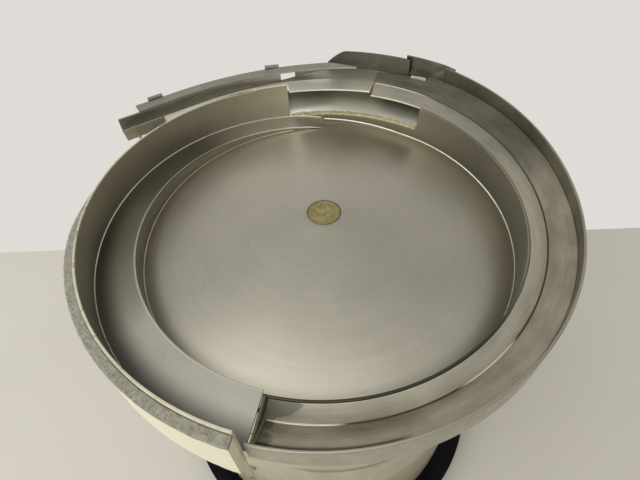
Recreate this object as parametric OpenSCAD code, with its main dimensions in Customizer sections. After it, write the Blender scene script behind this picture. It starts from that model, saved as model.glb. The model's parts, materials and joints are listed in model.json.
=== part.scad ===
// Vibratory bowl feeder: spiral sheet-metal bowl on a leaf-spring drive.
// Origin on the bowl axis at floor level, +Z up. Angles run anticlockwise seen from above.

/* [Bowl] */
// Inside radius of the round wall between the floor and the V track
bowl_r = 199; // [190:1:210]
// Height of the edge of the bowl floor
floor_edge_z = 430; // [426:1:436]
// Rise of the floor from its edge to the centre
floor_rise = 32; // [20:1:40]
// Thickness of the floor sheet
floor_t = 2.5; // [1.5:0.5:3]
// Radius of the sealing plug in the floor
plug_r = 17.5; // [12:0.5:22]
// Thickness of the spiral wall sheet
wall_t = 2.5; // [1.5:0.5:3]
// Height of the bowl skirt under the floor
skirt_h = 66; // [50:1:70]
// Inside radius of the outer wall along the near side
outer_r = 239; // [236:1:248]
// Gain of that radius towards the back, and at the end of the spiral wall
outer_gain = 4; // [0:0.5:6]

/* [Inner ramp] */
// Inner edge radius of the ramp where it leaves the floor
ramp_start_r = 182; // [176:1:186]
// Climb of the ramp from its start to its end
ramp_climb = 35.5; // [28:0.5:40]
// Fall of the ramp towards the wall
ramp_tilt = 2.5; // [0.5:0.5:4]
// Thickness of the ramp and track sheets
track_t = 2; // [1:0.5:2.5]
// Height of the left wall over the ramp
rim_over_ramp = 41; // [32:1:50]

/* [V track] */
// Height of the inner wall top at the start of the V track
track_wall_z = 465; // [462:1:470]
// Climb of the inner wall top along the V track
track_wall_climb = 11; // [6:1:14]
// Distance of the crease from the inner wall
crease_w = 15; // [11:1:20]
// Gain of that distance along the track
crease_gain = 7; // [2:1:9]
// Depth of the crease under the wall top at the start
crease_depth = 13; // [9:1:16]
// Climb of the crease along the V track
crease_climb = 28; // [20:1:30]
// Rise of the outer flank over the crease
flank_rise = 14.5; // [10:0.5:18]
// Height of the outer rim at the start of the V track
rim_z = 476; // [474:1:480]
// Climb of the outer rim along the V track
rim_climb = 35; // [30:1:42]
// Thickness of the outer wall sheet
outer_t = 2.5; // [1.5:0.5:3]
// Height of the lower edge of the outer wall
outer_low_z = 448; // [444:1:449]

/* [Outlet] */
// Inside width of the outlet channel
channel_w = 14; // [10:1:16]
// Height of the outlet channel floor at its end
outlet_z = 473; // [470:1:475]
// Height of the low wall over the outlet channel floor
near_wall_h = 12; // [8:1:14]
// Height of the tall web over the outlet channel floor
web_h = 19.5; // [16:0.5:24]
// Width of the flange on top of the web
flange_w = 14; // [8:1:18]
// Straight length of the outlet
outlet_l = 82; // [70:1:90]
// Height of the guard plate behind the track
guard_h = 23; // [16:1:28]

/* [Base] */
// Radius of the base plate
base_r = 230; // [222:1:240]
// Thickness of the base plate
base_t = 16; // [12:1:20]
// Height of the rubber feet
foot_h = 10; // [6:1:14]
// Outside radius of the drive housing
housing_r = 201; // [198:1:206]
// Thickness of the housing sheet
housing_t = 2; // [1.5:0.5:2.5]
// Gap between the housing and the moving bowl skirt
housing_gap = 8; // [5:1:12]
// Circle radius of the base mounting holes
base_hole_pcd_r = 215; // [211:1:218]
// Radius of the base mounting holes
base_hole_r = 4.5; // [3:0.5:5.5]

/* [Drive] */
// Circle radius of the leaf spring packs
spring_r = 150; // [146:1:154]
// Tilt of the leaf springs from upright
spring_tilt = 18; // [14:1:20]
// Length of a leaf spring
leaf_l = 190; // [180:2:200]
// Width of a leaf spring
leaf_w = 40; // [34:1:44]
// Thickness of a leaf spring
leaf_t = 3; // [2:0.5:3.5]
// Air gap between the magnet core and the armature
air_gap = 2; // [1:0.2:3]
// Thickness of the top plate of the drive
top_plate_t = 28; // [24:1:32]
// Radius of the top plate of the drive
top_plate_r = 168; // [160:1:176]

/* [Hidden] */
$fn = 96;

// Space left between neighbouring sheets
fit = 0.2;
// Space left where a screw passes a hole
hole_fit = 0.5;
// Overrun of every cut
over = 1;
// Angle between two sections of a rolled sheet
step = 3;

// Angles of the spiral, counted on past one turn
step_a = 254.5;
turn = 360;
ramp_a = 448;
track_a = 255.6;
window_a = 411.5;
window_end_a = 460.5;
spread_a = 418;
spiral_a = 457;
end_a = step_a + turn;
track_end_a = 430.6;
outer_full_r = outer_r + outer_gain;
outer_spread_a = 355;
outer_full_a = 400;
function outer_at(a) = outer_r + outer_gain*smooth(share(a, outer_spread_a, outer_full_a));
// Radius of the wall where the window ends
spread = 12;
spiral_r = bowl_r + spread;
// Slit left between two sheets that follow each other
slit_a = 0.3;

// Floor height at a radius
floor_seat_r = bowl_r - fit;
function floor_z(r) = floor_edge_z + floor_rise*(floor_seat_r - r)/(floor_seat_r - plug_r);

// Share of the way from a to b
function share(v, a, b) = max(0, min(1, (v - a)/(b - a)));
function mix(a, b, k) = a + (b - a)*k;
function smooth(k) = k*k*(3 - 2*k);
// Angles from a to b in steps of about one section
function sweep(a, b) = [for (i = [0:ceil((b - a)/step)]) min(b, a + step*i)];

// A point at distance d from centre c in direction a, moved s along the tangent, at height z
function spot(c, a, s, d, z) = [c[0] + d*cos(a) - s*sin(a), c[1] + d*sin(a) + s*cos(a), z];
// Section of an upright sheet, and of a lying sheet given by its upper face
function upright(c, a, s, d, z0, z1, t) =
    [spot(c, a, s, d, z0), spot(c, a, s, d + t, z0), spot(c, a, s, d + t, z1), spot(c, a, s, d, z1)];
function lying(c, a, s, d0, z0, d1, z1, t) =
    [spot(c, a, s, d0, z0 - t), spot(c, a, s, d1, z1 - t), spot(c, a, s, d1, z1), spot(c, a, s, d0, z0)];
axis = [0, 0];

// Solid through a row of sections with as many points each
module skin(rows) {
    n = len(rows[0]);
    m = len(rows);
    sides = [for (i = [0:m - 2], j = [0:n - 1])
        let (a = i*n + j, b = i*n + (j + 1)%n, c = (i + 1)*n + (j + 1)%n, d = (i + 1)*n + j)
        each [[a, b, c], [a, c, d]]];
    polyhedron(points = [for (r = rows) each r],
        faces = concat([[for (j = [n - 1:-1:0]) j]], sides, [[for (j = [0:n - 1]) (m - 1)*n + j]]));
}

// Inside radius, top and bottom of the spiral wall
function wall_r(a) = a <= spiral_a ? mix(bowl_r, spiral_r, share(a, spread_a, spiral_a))
    : mix(spiral_r, outer_full_r, share(a, spiral_a, end_a));
function ramp_z(a) = floor_z(ramp_start_r) + fit + track_t + ramp_climb*share(a, ramp_a, end_a);
ramp_end_gap = 1;
ramp_end_r = bowl_r - ramp_end_gap;
function ramp_r(a) = mix(ramp_start_r, ramp_end_r, share(a, ramp_a, end_a));
// The ramp sheet starts thin, flush with the floor
ramp_tip_t = 0.4;
ramp_full_a = 454;
function ramp_t(a) = mix(ramp_tip_t, track_t, share(a, ramp_a, ramp_full_a));
function ramp_drop(a) = track_t - ramp_t(a);
sill_h = 14;
sill_end_h = 4;
wall_foot = 6;
wall_below_ramp = 8;
function inner_top(a) = track_wall_z + track_wall_climb*share(a, step_a, window_a);
function sill_z(a) = floor_edge_z + mix(sill_h, sill_end_h, share(a, window_a, window_end_a));
function rim_top(a) = max(ramp_z(a) + rim_over_ramp, strip_z - strip_t - fit);
function left_foot(a) = min(outer_low_z, ramp_z(a) - wall_below_ramp);

// V track: crease, outer flank and outer rim
crease_flat = 1.5;
function crease_r(a) = bowl_r + crease_w + crease_gain*smooth(share(a, step_a, window_a));
function crease_z(a) = track_wall_z - crease_depth + crease_climb*share(a, step_a, window_a)
    + crease_flat*share(a, window_a, track_end_a);
flank_settle = 8;
function flank_z(a) = crease_z(a) + flank_rise
    - flank_settle*smooth(share(a, window_a, track_end_a));
function rim_at(a) = rim_z + rim_climb*share(a, step_a, window_a);
outer_end_a = 410.5;
flank_gap = 0.6;
// Notch in the outer flank beside the lap plate
notch_a = 414.7;
notch_end_a = 419.8;
notch_d = 7;

// Outlet: arcs about their own centre, then a straight run
rail_c = [-23, -61];
web_r = 278;
outlet_a = 121;
plate_a = 70.4;
plate_start_out = 305;
plate_shoulder_a = 76;
plate_narrow_a = 97;
strip_l = 33;
strip_t = 2;
strip_w = 21;
strip_gain = 6.5;
strip_flare = 24;
strip_flare_power = 1.3;
strip_z = 484.5;
strip_ledge = 3;
plate_start_z = 482;
plate_level_share = 0.4;
channel_r = web_r - channel_w;
function strip_out(a) = channel_r + strip_flare*pow(1 - share(a, plate_a, outlet_a), strip_flare_power);
function strip_in(a) = strip_out(a) - strip_w - strip_gain*pow(1 - share(a, plate_a, outlet_a), 2);
outlet_arc_l = web_r*(outlet_a - plate_a)*PI/180;
function plate_z(a, s) = mix(plate_start_z, outlet_z,
    smooth(share(outlet_arc_l*share(a, plate_a, outlet_a) + s, plate_level_share*outlet_arc_l,
        outlet_arc_l + outlet_l)));
// Rise of the channel floor's outer edge where it leaves the V track
plate_dish_h = 4.5;
plate_dish_a = 88;
plate_level_a = 105;
function plate_dish(a) = plate_dish_h*(1 - smooth(share(a, plate_dish_a, plate_level_a)));
function plate_out(a) = mix(plate_start_out, web_r + track_t,
    smooth(share(a, plate_shoulder_a, plate_narrow_a)));
// Distance along direction a, from a start moved s, to the spiral wall grown by an amount
function circle_d(a, s, r) = let (p = spot(rail_c, a, s, 0, 0), b = p[0]*cos(a) + p[1]*sin(a))
    sqrt(b*b - p[0]*p[0] - p[1]*p[1] + r*r) - b;
function axis_a(a, s, d) = let (p = spot(rail_c, a, s, d, 0)) turn + atan2(p[1], p[0]);
function wall_d(a, s, grow) = let (d = circle_d(a, s, wall_r(axis_a(a, s, channel_r)) + grow))
    circle_d(a, s, wall_r(axis_a(a, s, d)) + grow);
wall_join_a = 93;
function plate_in(a) = a > wall_join_a ? max(strip_out(a) - strip_ledge, wall_d(a, 0, wall_t + 2*fit))
    : strip_out(a) - strip_ledge;
strip_over_a = 472;
web_t = 2;
web_a = 95;
flange_a = 75;
flange_l = 56;
flange_z = outlet_z + web_h;
flange_lift = 12;
function flange_top(a) = flange_z + flange_lift*pow(1 - share(a, flange_a, outlet_a), 2);
flange_share = 0.14;
flange_full_a = 82;

// Guard and lap plates
guard_a = 421;
guard_top_a = 441;
guard_end_a = 446.5;
guard_in = 3;
guard_r = outer_full_r - guard_in;
guard_t = 2;
guard_low_z = 487;
guard_drop = 15;
lap_a = 407.5;
lap_end_a = 422.5;
lap_t = 2;
lap_r = outer_full_r + outer_t + fit;

// Damping layer on the outside of the left wall
damp_a = 528;
damp_full_a = 556;
damp_t = 8.5;
damp_start_t = 1.5;
damp_below_rim = 2.5;

// Drive heights, from the floor up
body_top_z = 150;
body_r = 120;
plate_top_z = foot_h + base_t;
skirt_z = floor_edge_z - wall_foot - fit - skirt_h;
housing_top_z = skirt_z - housing_gap;
spring_z = 200;
top_plate_z = 300;
spacer_r = 62;

module bowl_floor() {
    color("#9A9585")
        rotate_extrude($fn = 180)
            polygon([[plug_r, floor_z(plug_r) - floor_t], [floor_seat_r, floor_edge_z - floor_t],
                [floor_seat_r, floor_edge_z], [plug_r, floor_z(plug_r)]]);
}

// Crescent that fills the floor where the wall spreads out from it
apron_a = 423;
module floor_apron() {
    color("#9A9585")
        skin([for (a = sweep(apron_a, window_end_a))
            lying(axis, a, 0, floor_seat_r + fit, floor_edge_z, wall_r(a) - fit, floor_edge_z, floor_t)]);
}

plug_t = 5;
plug_crown = 0.4;
module centre_plug() {
    color("#968C55")
        translate([0, 0, floor_z(plug_r) + plug_crown - plug_t])
            cylinder(r = plug_r - fit, h = plug_t);
}

bolt_r = 8;
bolt_head_r = 12;
bolt_head_h = 16;
bolt_reach = 26;
socket_r = 7;
socket_h = 8;
plug_gap = 1;
bolt_head_z = floor_z(plug_r) + plug_crown - plug_t - plug_gap - bolt_head_h;
module centre_bolt() {
    color("#8C8C88")
        difference() {
            union() {
                translate([0, 0, bolt_head_z])
                    cylinder(r = bolt_head_r, h = bolt_head_h);
                translate([0, 0, top_plate_z + top_plate_t - bolt_reach])
                    cylinder(r = bolt_r, h = bolt_head_z - top_plate_z - top_plate_t + bolt_reach + fit);
            }
            translate([0, 0, bolt_head_z + bolt_head_h - socket_h])
                cylinder(r = socket_r, h = socket_h + over, $fn = 6);
        }
}

base_sheet_t = 4;
hub_r = 34;
hub_wall_z = skirt_z + base_sheet_t;
hub_top_z = floor_z(hub_r) - floor_t - fit;
module bowl_hub() {
    color("#8F8A7A")
        difference() {
            translate([0, 0, hub_wall_z])
                cylinder(r = hub_r, h = hub_top_z - hub_wall_z);
            translate([0, 0, bolt_head_z - fit])
                cylinder(r = bolt_head_r + hole_fit, h = hub_top_z - bolt_head_z + over);
            translate([0, 0, hub_wall_z - over])
                cylinder(r = bolt_r + hole_fit, h = hub_top_z - hub_wall_z);
        }
}

module bowl_base_plate() {
    color("#8F8A7A")
        difference() {
            translate([0, 0, skirt_z])
                cylinder(r = bowl_r - fit, h = base_sheet_t, $fn = 180);
            translate([0, 0, skirt_z - over])
                cylinder(r = bolt_r + hole_fit, h = base_sheet_t + 2*over);
        }
}

module bowl_skirt() {
    color("#C5BF9C")
        difference() {
            translate([0, 0, skirt_z])
                cylinder(r = bowl_r + wall_t, h = skirt_h, $fn = 180);
            translate([0, 0, skirt_z - over])
                cylinder(r = bowl_r, h = skirt_h + 2*over, $fn = 180);
        }
}

module inner_ramp() {
    color("#B5B1A5")
        skin([for (a = sweep(ramp_a, end_a))
            lying(axis, a, 0, ramp_r(a), ramp_z(a) - ramp_drop(a), wall_r(a) - fit,
                ramp_z(a) - ramp_tilt - ramp_drop(a), ramp_t(a))]);
}

riser_a = 453;
riser_t = 1.5;
module ramp_riser() {
    color("#8F8A7A")
        skin([for (a = sweep(riser_a, end_a - slit_a))
            upright(axis, a, 0, ramp_r(a) + fit, floor_z(ramp_r(a)) + fit,
                ramp_z(a) - track_t - fit - ramp_tilt*(riser_t + fit)/(wall_r(a) - ramp_r(a)), riser_t)]);
}

// The wall runs once round: beside the V track, under the window and up the left side
module spiral_wall() {
    low = floor_edge_z - wall_foot;
    color("#6B675A")
        skin(concat(
            [for (a = sweep(step_a, window_a)) upright(axis, a, 0, wall_r(a), low, inner_top(a), wall_t)],
            [for (a = sweep(window_a + slit_a, window_end_a))
                upright(axis, a, 0, wall_r(a), low, sill_z(a), wall_t)],
            [for (a = sweep(window_end_a + slit_a, end_a - slit_a))
                upright(axis, a, 0, wall_r(a), min(left_foot(a), rim_top(a)), rim_top(a), wall_t)]));
}

// Plate that closes the step between the end of the ramp and the start of the V track
step_plate_a = 254.8;
step_plate_end_a = 255.3;
step_plate_h = 24;
module step_plate() {
    top_z = ramp_z(end_a) - track_t;
    in_r = bowl_r + wall_t + fit;
    color("#7D796B")
        skin([for (a = [step_plate_a, step_plate_end_a])
            [spot(axis, a, 0, in_r, top_z - step_plate_h),
            spot(axis, a, 0, outer_r - fit, top_z - step_plate_h),
            spot(axis, a, 0, outer_r - fit, top_z - ramp_tilt),
            spot(axis, a, 0, in_r, top_z)]]);
}

module track_inner_flank() {
    color("#8F8A7A")
        skin([for (a = sweep(track_a, track_end_a))
            lying(axis, a, 0, bowl_r + wall_t + fit, inner_top(a) - flank_gap - fit,
                crease_r(a) - fit, crease_z(a), track_t)]);
}

module track_outer_flank() {
    function out_r(a) = outer_at(a) - fit;
    function row(a, r) = let (k = (r - crease_r(a))/(out_r(a) - crease_r(a)))
        lying(axis, a, 0, crease_r(a), crease_z(a), r, mix(crease_z(a), flank_z(a), k), track_t);
    color("#6B675A")
        skin(concat(
            [for (a = sweep(track_a, notch_a)) row(a, out_r(a))],
            [for (a = sweep(notch_a + slit_a, notch_end_a)) row(a, out_r(a) - notch_d)],
            [for (a = sweep(notch_end_a + slit_a, track_end_a)) row(a, guard_r - 2*fit)]));
}

module outer_wall() {
    color("#C5BF9C")
        skin([for (a = sweep(step_a, outer_end_a))
            upright(axis, a, 0, outer_at(a), outer_low_z, rim_at(a), outer_t)]);
}

// Sheet that closes the back under the guard plate
rear_end_a = 457;
module rear_skirt() {
    color("#C5BF9C")
        skin([for (a = sweep(outer_end_a + slit_a, rear_end_a))
            upright(axis, a, 0, outer_full_r, outer_low_z, guard_low_z - over, outer_t)]);
}

tray_rise = 24;
tray_back = 5;
module return_tray() {
    color("#7D796B")
        skin([for (a = sweep(window_a, window_end_a))
            lying(axis, a, 0, wall_r(a) + wall_t + fit, sill_z(a),
                outer_full_r - tray_back*share(a, spread_a, window_end_a) - fit,
                sill_z(a) + tray_rise, track_t)]);
}

// Rises from the strip to its outer edge where it leaves the V track
module outlet_track() {
    function floor_row(a, s, d0) = lying(rail_c, a, s, d0, plate_z(a, s),
        plate_out(a), plate_z(a, s) + plate_dish(a), track_t);
    color("#A8A496")
        skin(concat(
            [for (a = sweep(plate_a, wall_join_a)) floor_row(a, 0, plate_in(a))],
            [for (a = sweep(wall_join_a + slit_a, outlet_a)) floor_row(a, 0, plate_in(a))],
            [for (s = [strip_l, strip_l + over, outlet_l])
                floor_row(outlet_a, s, s > strip_l ? channel_r : channel_r - strip_ledge)]));
}

// Level ledge beside the channel, with a leg down to the channel floor
module inner_guide_strip() {
    function foot(a, s, d) = spot(rail_c, a, s, d, plate_z(a, s)
        + plate_dish(a)*share(d, plate_in(a), plate_out(a)) + fit);
    function angle_row(a, s, d0) =
        [spot(rail_c, a, s, d0, strip_z - strip_t),
        spot(rail_c, a, s, strip_out(a) - strip_t, strip_z - strip_t),
        foot(a, s, strip_out(a) - strip_t),
        foot(a, s, strip_out(a)),
        spot(rail_c, a, s, strip_out(a), strip_z),
        spot(rail_c, a, s, d0, strip_z)];
    function beside(a, s) = wall_d(a, s, axis_a(a, s, channel_r) < strip_over_a ? 0 : wall_t + 2*fit);
    color("#B5B1A5")
        skin(concat(
            [for (a = sweep(plate_a, wall_join_a)) angle_row(a, 0, strip_in(a))],
            [for (a = sweep(wall_join_a + slit_a, outlet_a))
                angle_row(a, 0, max(strip_in(a), beside(a, 0)))],
            [for (s = [strip_l/2, strip_l]) angle_row(outlet_a, s, beside(outlet_a, s))]));
}

near_wall_skirt = 2.8;
module outlet_near_wall() {
    color("#4A4A44")
        skin([for (s = [strip_l + over, outlet_l])
            upright(rail_c, outlet_a, s, channel_r - web_t, plate_z(outlet_a, s) - near_wall_skirt,
                outlet_z + near_wall_h, web_t - fit)]);
}

// Tall web of the outlet with its flange on top; the flange runs on alone to the guard plate
module outlet_rail() {
    function web_row(a, s) = upright(rail_c, a, s, web_r, plate_z(a, s) + plate_dish(a) + fit,
        flange_top(a) - web_t, web_t);
    function flange_row(a, s, w) =
        lying(rail_c, a, s, web_r, flange_top(a), web_r + w, flange_top(a), web_t);
    function flange_w_at(a) = flange_w*mix(flange_share, 1, share(a, flange_a, flange_full_a));
    color("#8A887E") {
        skin(concat([for (a = sweep(web_a, outlet_a)) web_row(a, 0)], [web_row(outlet_a, outlet_l)]));
        skin(concat(
            [for (a = sweep(flange_a, outlet_a))
                flange_row(a, 0, flange_w_at(a))],
            [flange_row(outlet_a, flange_l, flange_w)]));
    }
}

lug_l = 18;
lug_d = 5;
lug_h = 6;
lug_places = [[97, 0], [121, 30]];
module rail_lugs() {
    color("#77756C")
        for (p = lug_places)
            translate([rail_c[0], rail_c[1], flange_top(p[0]) - lug_h + web_t])
                rotate([0, 0, p[0]])
                    translate([web_r + flange_w + fit, p[1] - lug_l/2, 0])
                        cube([lug_d, lug_l, lug_h]);
}

module guard_plate() {
    color("#3C3B36")
        skin([for (a = sweep(guard_a, guard_end_a))
            upright(axis, a, 0, guard_r, guard_low_z,
                guard_low_z + guard_h - guard_drop*share(a, guard_top_a, guard_end_a), guard_t)]);
}

lap_low_z = 470;
module lap_plate() {
    color("#3C3B36")
        skin([for (a = sweep(lap_a, lap_end_a))
            upright(axis, a, 0, lap_r, lap_low_z, rim_at(a) + over, lap_t)]);
}

// Bright lip along the notch
lip_w = 1.5;
lip_h = 3;
module wear_lip() {
    color("#D8D6CE")
        skin([for (a = sweep(notch_a + slit_a, notch_end_a))
            upright(axis, a, 0, outer_full_r - notch_d, flank_z(a) - track_t - lip_h, flank_z(a), lip_w)]);
}

module damping_layer() {
    color("#ADA785")
        skin([for (a = sweep(damp_a, end_a - slit_a))
            upright(axis, a, 0, wall_r(a) + wall_t + fit, outer_low_z, rim_top(a) - damp_below_rim,
                mix(damp_start_t, damp_t, smooth(share(a, damp_a, damp_full_a))))]);
}

// Gusset plates that carry the ramp and the track from the skirt
rib_t = 3;
rib_tall = 40;
rib_tip = 8;
rib_angles = [290, 320, 350, 380, 405, 500, 530, 560, 590, 607];
module support_ribs() {
    color("#8F8A7A")
        for (a = rib_angles) {
            in_r = bowl_r + wall_t + fit;
            out_r = (a > window_end_a ? wall_r(a) : outer_at(a)) - fit;
            top_z = a > window_end_a ? left_foot(a) + rib_tip : outer_low_z + over;
            seat_z = a > window_end_a ? min(top_z, ramp_z(a) - ramp_tilt - 2*track_t) : top_z;
            rotate([0, 0, a])
                rotate([90, 0, 0])
                    translate([0, 0, -rib_t/2])
                        linear_extrude(rib_t)
                            polygon([[in_r, skirt_z + skirt_h - rib_tall], [out_r, seat_z - rib_tip],
                                [out_r, seat_z], [in_r, seat_z]]);
        }
}

// Plates that tie the outlet to the left wall
bracket_angles = [506, 513];
bracket_t = 2;
bracket_h = 12;
module outlet_brackets() {
    color("#A8A496")
        for (a = bracket_angles) {
            near = spot(axis, a, 0, wall_r(a) + wall_t + fit, 0);
            gap_l = (channel_r - web_t - fit)
                - ((near[0] - rail_c[0])*cos(outlet_a) + (near[1] - rail_c[1])*sin(outlet_a));
            translate([near[0], near[1], outlet_z - bracket_h/2])
                rotate([0, 0, outlet_a])
                    translate([bracket_t/2, -bracket_t/2, 0])
                        cube([gap_l - bracket_t/2, bracket_t, bracket_h]);
        }
}

// Local frame of a spring pack: x outwards, y anticlockwise, z along the leaf
pack_angles = [45, 135, 225, 315];
module packs() {
    for (a = pack_angles)
        rotate([0, 0, a])
            translate([spring_r, 0, spring_z])
                rotate([spring_tilt, 0, 0])
                    children();
}

spacer_t = 2;
clamp_zone = 36;
clamp_t = 10;
clamp_margin = 4;
lug_depth = 30;
lug_reach = 42;
pack_half = leaf_t + spacer_t/2;
spring_bolt_r = 5;
spring_bolt_x_share = 0.27;
hex_r = 9;
hex_h = 7;
module spring_bolt_places(z) {
    for (k = [-1, 1])
        translate([k*spring_bolt_x_share*leaf_w, 0, z])
            children();
}
// Height of the bolt line above and below the middle of the leaf
bolt_line = leaf_l/2 - clamp_zone/2;
module across(r, l) {
    rotate([90, 0, 0])
        cylinder(r = r, h = l, center = true, $fn = 32);
}

module drive_top_plate() {
    color("#77756C")
        difference() {
            union() {
                translate([0, 0, top_plate_z])
                    cylinder(r = top_plate_r, h = top_plate_t);
                packs()
                    translate([-lug_reach, pack_half + fit, bolt_line - clamp_zone/2])
                        cube([lug_reach + leaf_w/2 - clamp_margin, lug_depth,
                            clamp_zone + hex_r + clamp_margin]);
            }
            packs()
                spring_bolt_places(bolt_line)
                    translate([0, pack_half + lug_depth/2, 0])
                        across(spring_bolt_r + hole_fit, lug_depth + 2*over);
            translate([0, 0, top_plate_z + top_plate_t - bolt_reach - over])
                cylinder(r = bolt_r + hole_fit, h = bolt_reach + 2*over);
        }
}

module bowl_spacer() {
    color("#8C8C88")
        difference() {
            translate([0, 0, top_plate_z + top_plate_t])
                cylinder(r = spacer_r, h = skirt_z - top_plate_z - top_plate_t);
            translate([0, 0, top_plate_z + top_plate_t - over])
                cylinder(r = bolt_r + hole_fit, h = skirt_z - top_plate_z - top_plate_t + 2*over);
        }
}

core_w = 90;
core_d = 50;
core_h = 66;
leg_w = 14;
arm_h = 22;
arm_bolt_r = 4;
core_foot = 4;
core_z = body_top_z + core_foot;
arm_z = core_z + core_h + air_gap;
module armature() {
    color("#5E5E5A")
        difference() {
            translate([-core_w/2, -core_d/2, arm_z])
                cube([core_w, core_d, arm_h]);
            for (k = [-1, 1])
                translate([k*core_w/4, 0, arm_z - over])
                    cylinder(r = arm_bolt_r + hole_fit, h = arm_h + 2*over, $fn = 32);
        }
}

module armature_bracket() {
    low = arm_z + arm_h;
    color("#77756C")
        difference() {
            translate([-core_w/2, -core_d/2 + bracket_t, low])
                cube([core_w, core_d - 2*bracket_t, top_plate_z - low]);
            for (k = [-1, 1])
                translate([k*core_w/4, 0, low - over])
                    cylinder(r = arm_bolt_r + hole_fit, h = clamp_zone + 2*over, $fn = 32);
        }
}

arm_head_r = 6.5;
arm_head_h = 5;
module armature_bolts() {
    color("#C9C6B8")
        for (k = [-1, 1])
            translate([k*core_w/4, 0, arm_z + arm_head_h - fit])
                cylinder(r = arm_bolt_r, h = arm_h + clamp_zone - arm_head_h, $fn = 32);
}

module clamp_plate(z, side) {
    translate([-leaf_w/2, side > 0 ? pack_half + fit : -pack_half - fit - clamp_t, z - clamp_zone/2])
        difference() {
            cube([leaf_w, clamp_t, clamp_zone]);
            for (k = [-1, 1])
                translate([leaf_w/2 + k*spring_bolt_x_share*leaf_w, clamp_t/2, clamp_zone/2])
                    across(spring_bolt_r + hole_fit, clamp_t + 2*over);
        }
}

module upper_clamp_plates() {
    color("#8C8C88")
        packs()
            clamp_plate(bolt_line, -1);
}

module lower_clamp_plates() {
    color("#8C8C88")
        packs()
            clamp_plate(-bolt_line, 1);
}

module spacer_plate(z) {
    translate([-leaf_w/2, -spacer_t/2, z - clamp_zone/2])
        difference() {
            cube([leaf_w, spacer_t, clamp_zone]);
            for (k = [-1, 1])
                translate([leaf_w/2 + k*spring_bolt_x_share*leaf_w, spacer_t/2, clamp_zone/2])
                    across(spring_bolt_r + hole_fit, spacer_t + 2*over);
        }
}

module upper_spring_spacers() {
    color("#8C8C88")
        packs()
            spacer_plate(bolt_line);
}

module lower_spring_spacers() {
    color("#8C8C88")
        packs()
            spacer_plate(-bolt_line);
}

// Bolt with its head on the clamp plate and its shank in the lug
module spring_bolts(z, side) {
    head_y = side*(pack_half + fit + clamp_t);
    shank_l = 2*pack_half + clamp_t + lug_depth/2;
    spring_bolt_places(z) {
        translate([0, head_y + side*hex_h/2, 0])
            rotate([90, 0, 0])
                cylinder(r = hex_r, h = hex_h, center = true, $fn = 6);
        translate([0, head_y - side*shank_l/2, 0])
            across(spring_bolt_r, shank_l);
    }
}

module upper_spring_bolts() {
    color("#C9C6B8")
        packs()
            spring_bolts(bolt_line, -1);
}

module lower_spring_bolts() {
    color("#C9C6B8")
        packs()
            spring_bolts(-bolt_line, 1);
}

module leaf_springs() {
    color("#6A6A66")
        packs()
            for (side = [-1, 1])
                difference() {
                    translate([-leaf_w/2, side > 0 ? spacer_t/2 : -spacer_t/2 - leaf_t, -leaf_l/2])
                        cube([leaf_w, leaf_t, leaf_l]);
                    for (z = [-bolt_line, bolt_line])
                        spring_bolt_places(z)
                            across(spring_bolt_r + hole_fit, 2*pack_half + 2*over);
                }
}

body_bolt_r = 6;
body_bolt_pcd_r = 95;
body_head_r = 9;
body_head_h = 12;
module drive_body() {
    color("#5E5E5A")
        difference() {
            union() {
                translate([0, 0, plate_top_z])
                    cylinder(r = body_r, h = body_top_z - plate_top_z);
                packs()
                    translate([-lug_reach, -pack_half - fit - lug_depth,
                        -bolt_line - clamp_zone/2 - clamp_margin])
                        cube([lug_reach + leaf_w/2 - clamp_margin, lug_depth,
                            clamp_zone + clamp_margin]);
            }
            packs()
                spring_bolt_places(-bolt_line)
                    translate([0, -pack_half - lug_depth/2, 0])
                        across(spring_bolt_r + hole_fit, lug_depth + 2*over);
            for (a = [0:90:270])
                rotate([0, 0, a])
                    translate([body_bolt_pcd_r, 0, 0]) {
                        translate([0, 0, plate_top_z - over])
                            cylinder(r = body_bolt_r + hole_fit, h = body_top_z, $fn = 32);
                        translate([0, 0, body_top_z - body_head_h])
                            cylinder(r = body_head_r + hole_fit, h = body_head_h + over, $fn = 32);
                    }
        }
}

module body_bolts() {
    color("#8C8C88")
        for (a = [0:90:270])
            rotate([0, 0, a])
                translate([body_bolt_pcd_r, 0, 0]) {
                    translate([0, 0, foot_h + over])
                        cylinder(r = body_bolt_r, h = body_top_z - body_head_h - foot_h, $fn = 32);
                    translate([0, 0, body_top_z - body_head_h])
                        cylinder(r = body_head_r, h = body_head_h - over, $fn = 32);
                }
}

// E shaped core, standing on the drive body
slot_w = core_w/2 - 2*leg_w;
module magnet_core() {
    color("#5A5852")
        translate([0, core_d/2 - core_d, core_z])
            difference() {
                translate([-core_w/2, 0, 0])
                    cube([core_w, core_d, core_h]);
                for (k = [-1, 1])
                    translate([k*(leg_w + slot_w/2) - slot_w/2, -over, leg_w])
                        cube([slot_w, core_d + 2*over, core_h]);
            }
}

// Winding round the middle leg of the core
coil_fit = 0.5;
coil_t = slot_w - 2*coil_fit;
coil_h = core_h - leg_w - 2*coil_fit;
module magnet_coil() {
    color("#8A4B22")
        translate([0, 0, core_z + leg_w + coil_fit])
            difference() {
                translate([-leg_w - coil_fit - coil_t, -core_d/2 - coil_fit - coil_t, 0])
                    cube([2*(leg_w + coil_fit + coil_t), core_d + 2*(coil_fit + coil_t),
                        coil_h]);
                translate([-leg_w - coil_fit, -core_d/2 - coil_fit, -over])
                    cube([2*(leg_w + coil_fit), core_d + 2*coil_fit, core_h + 2*over]);
            }
}

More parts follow.
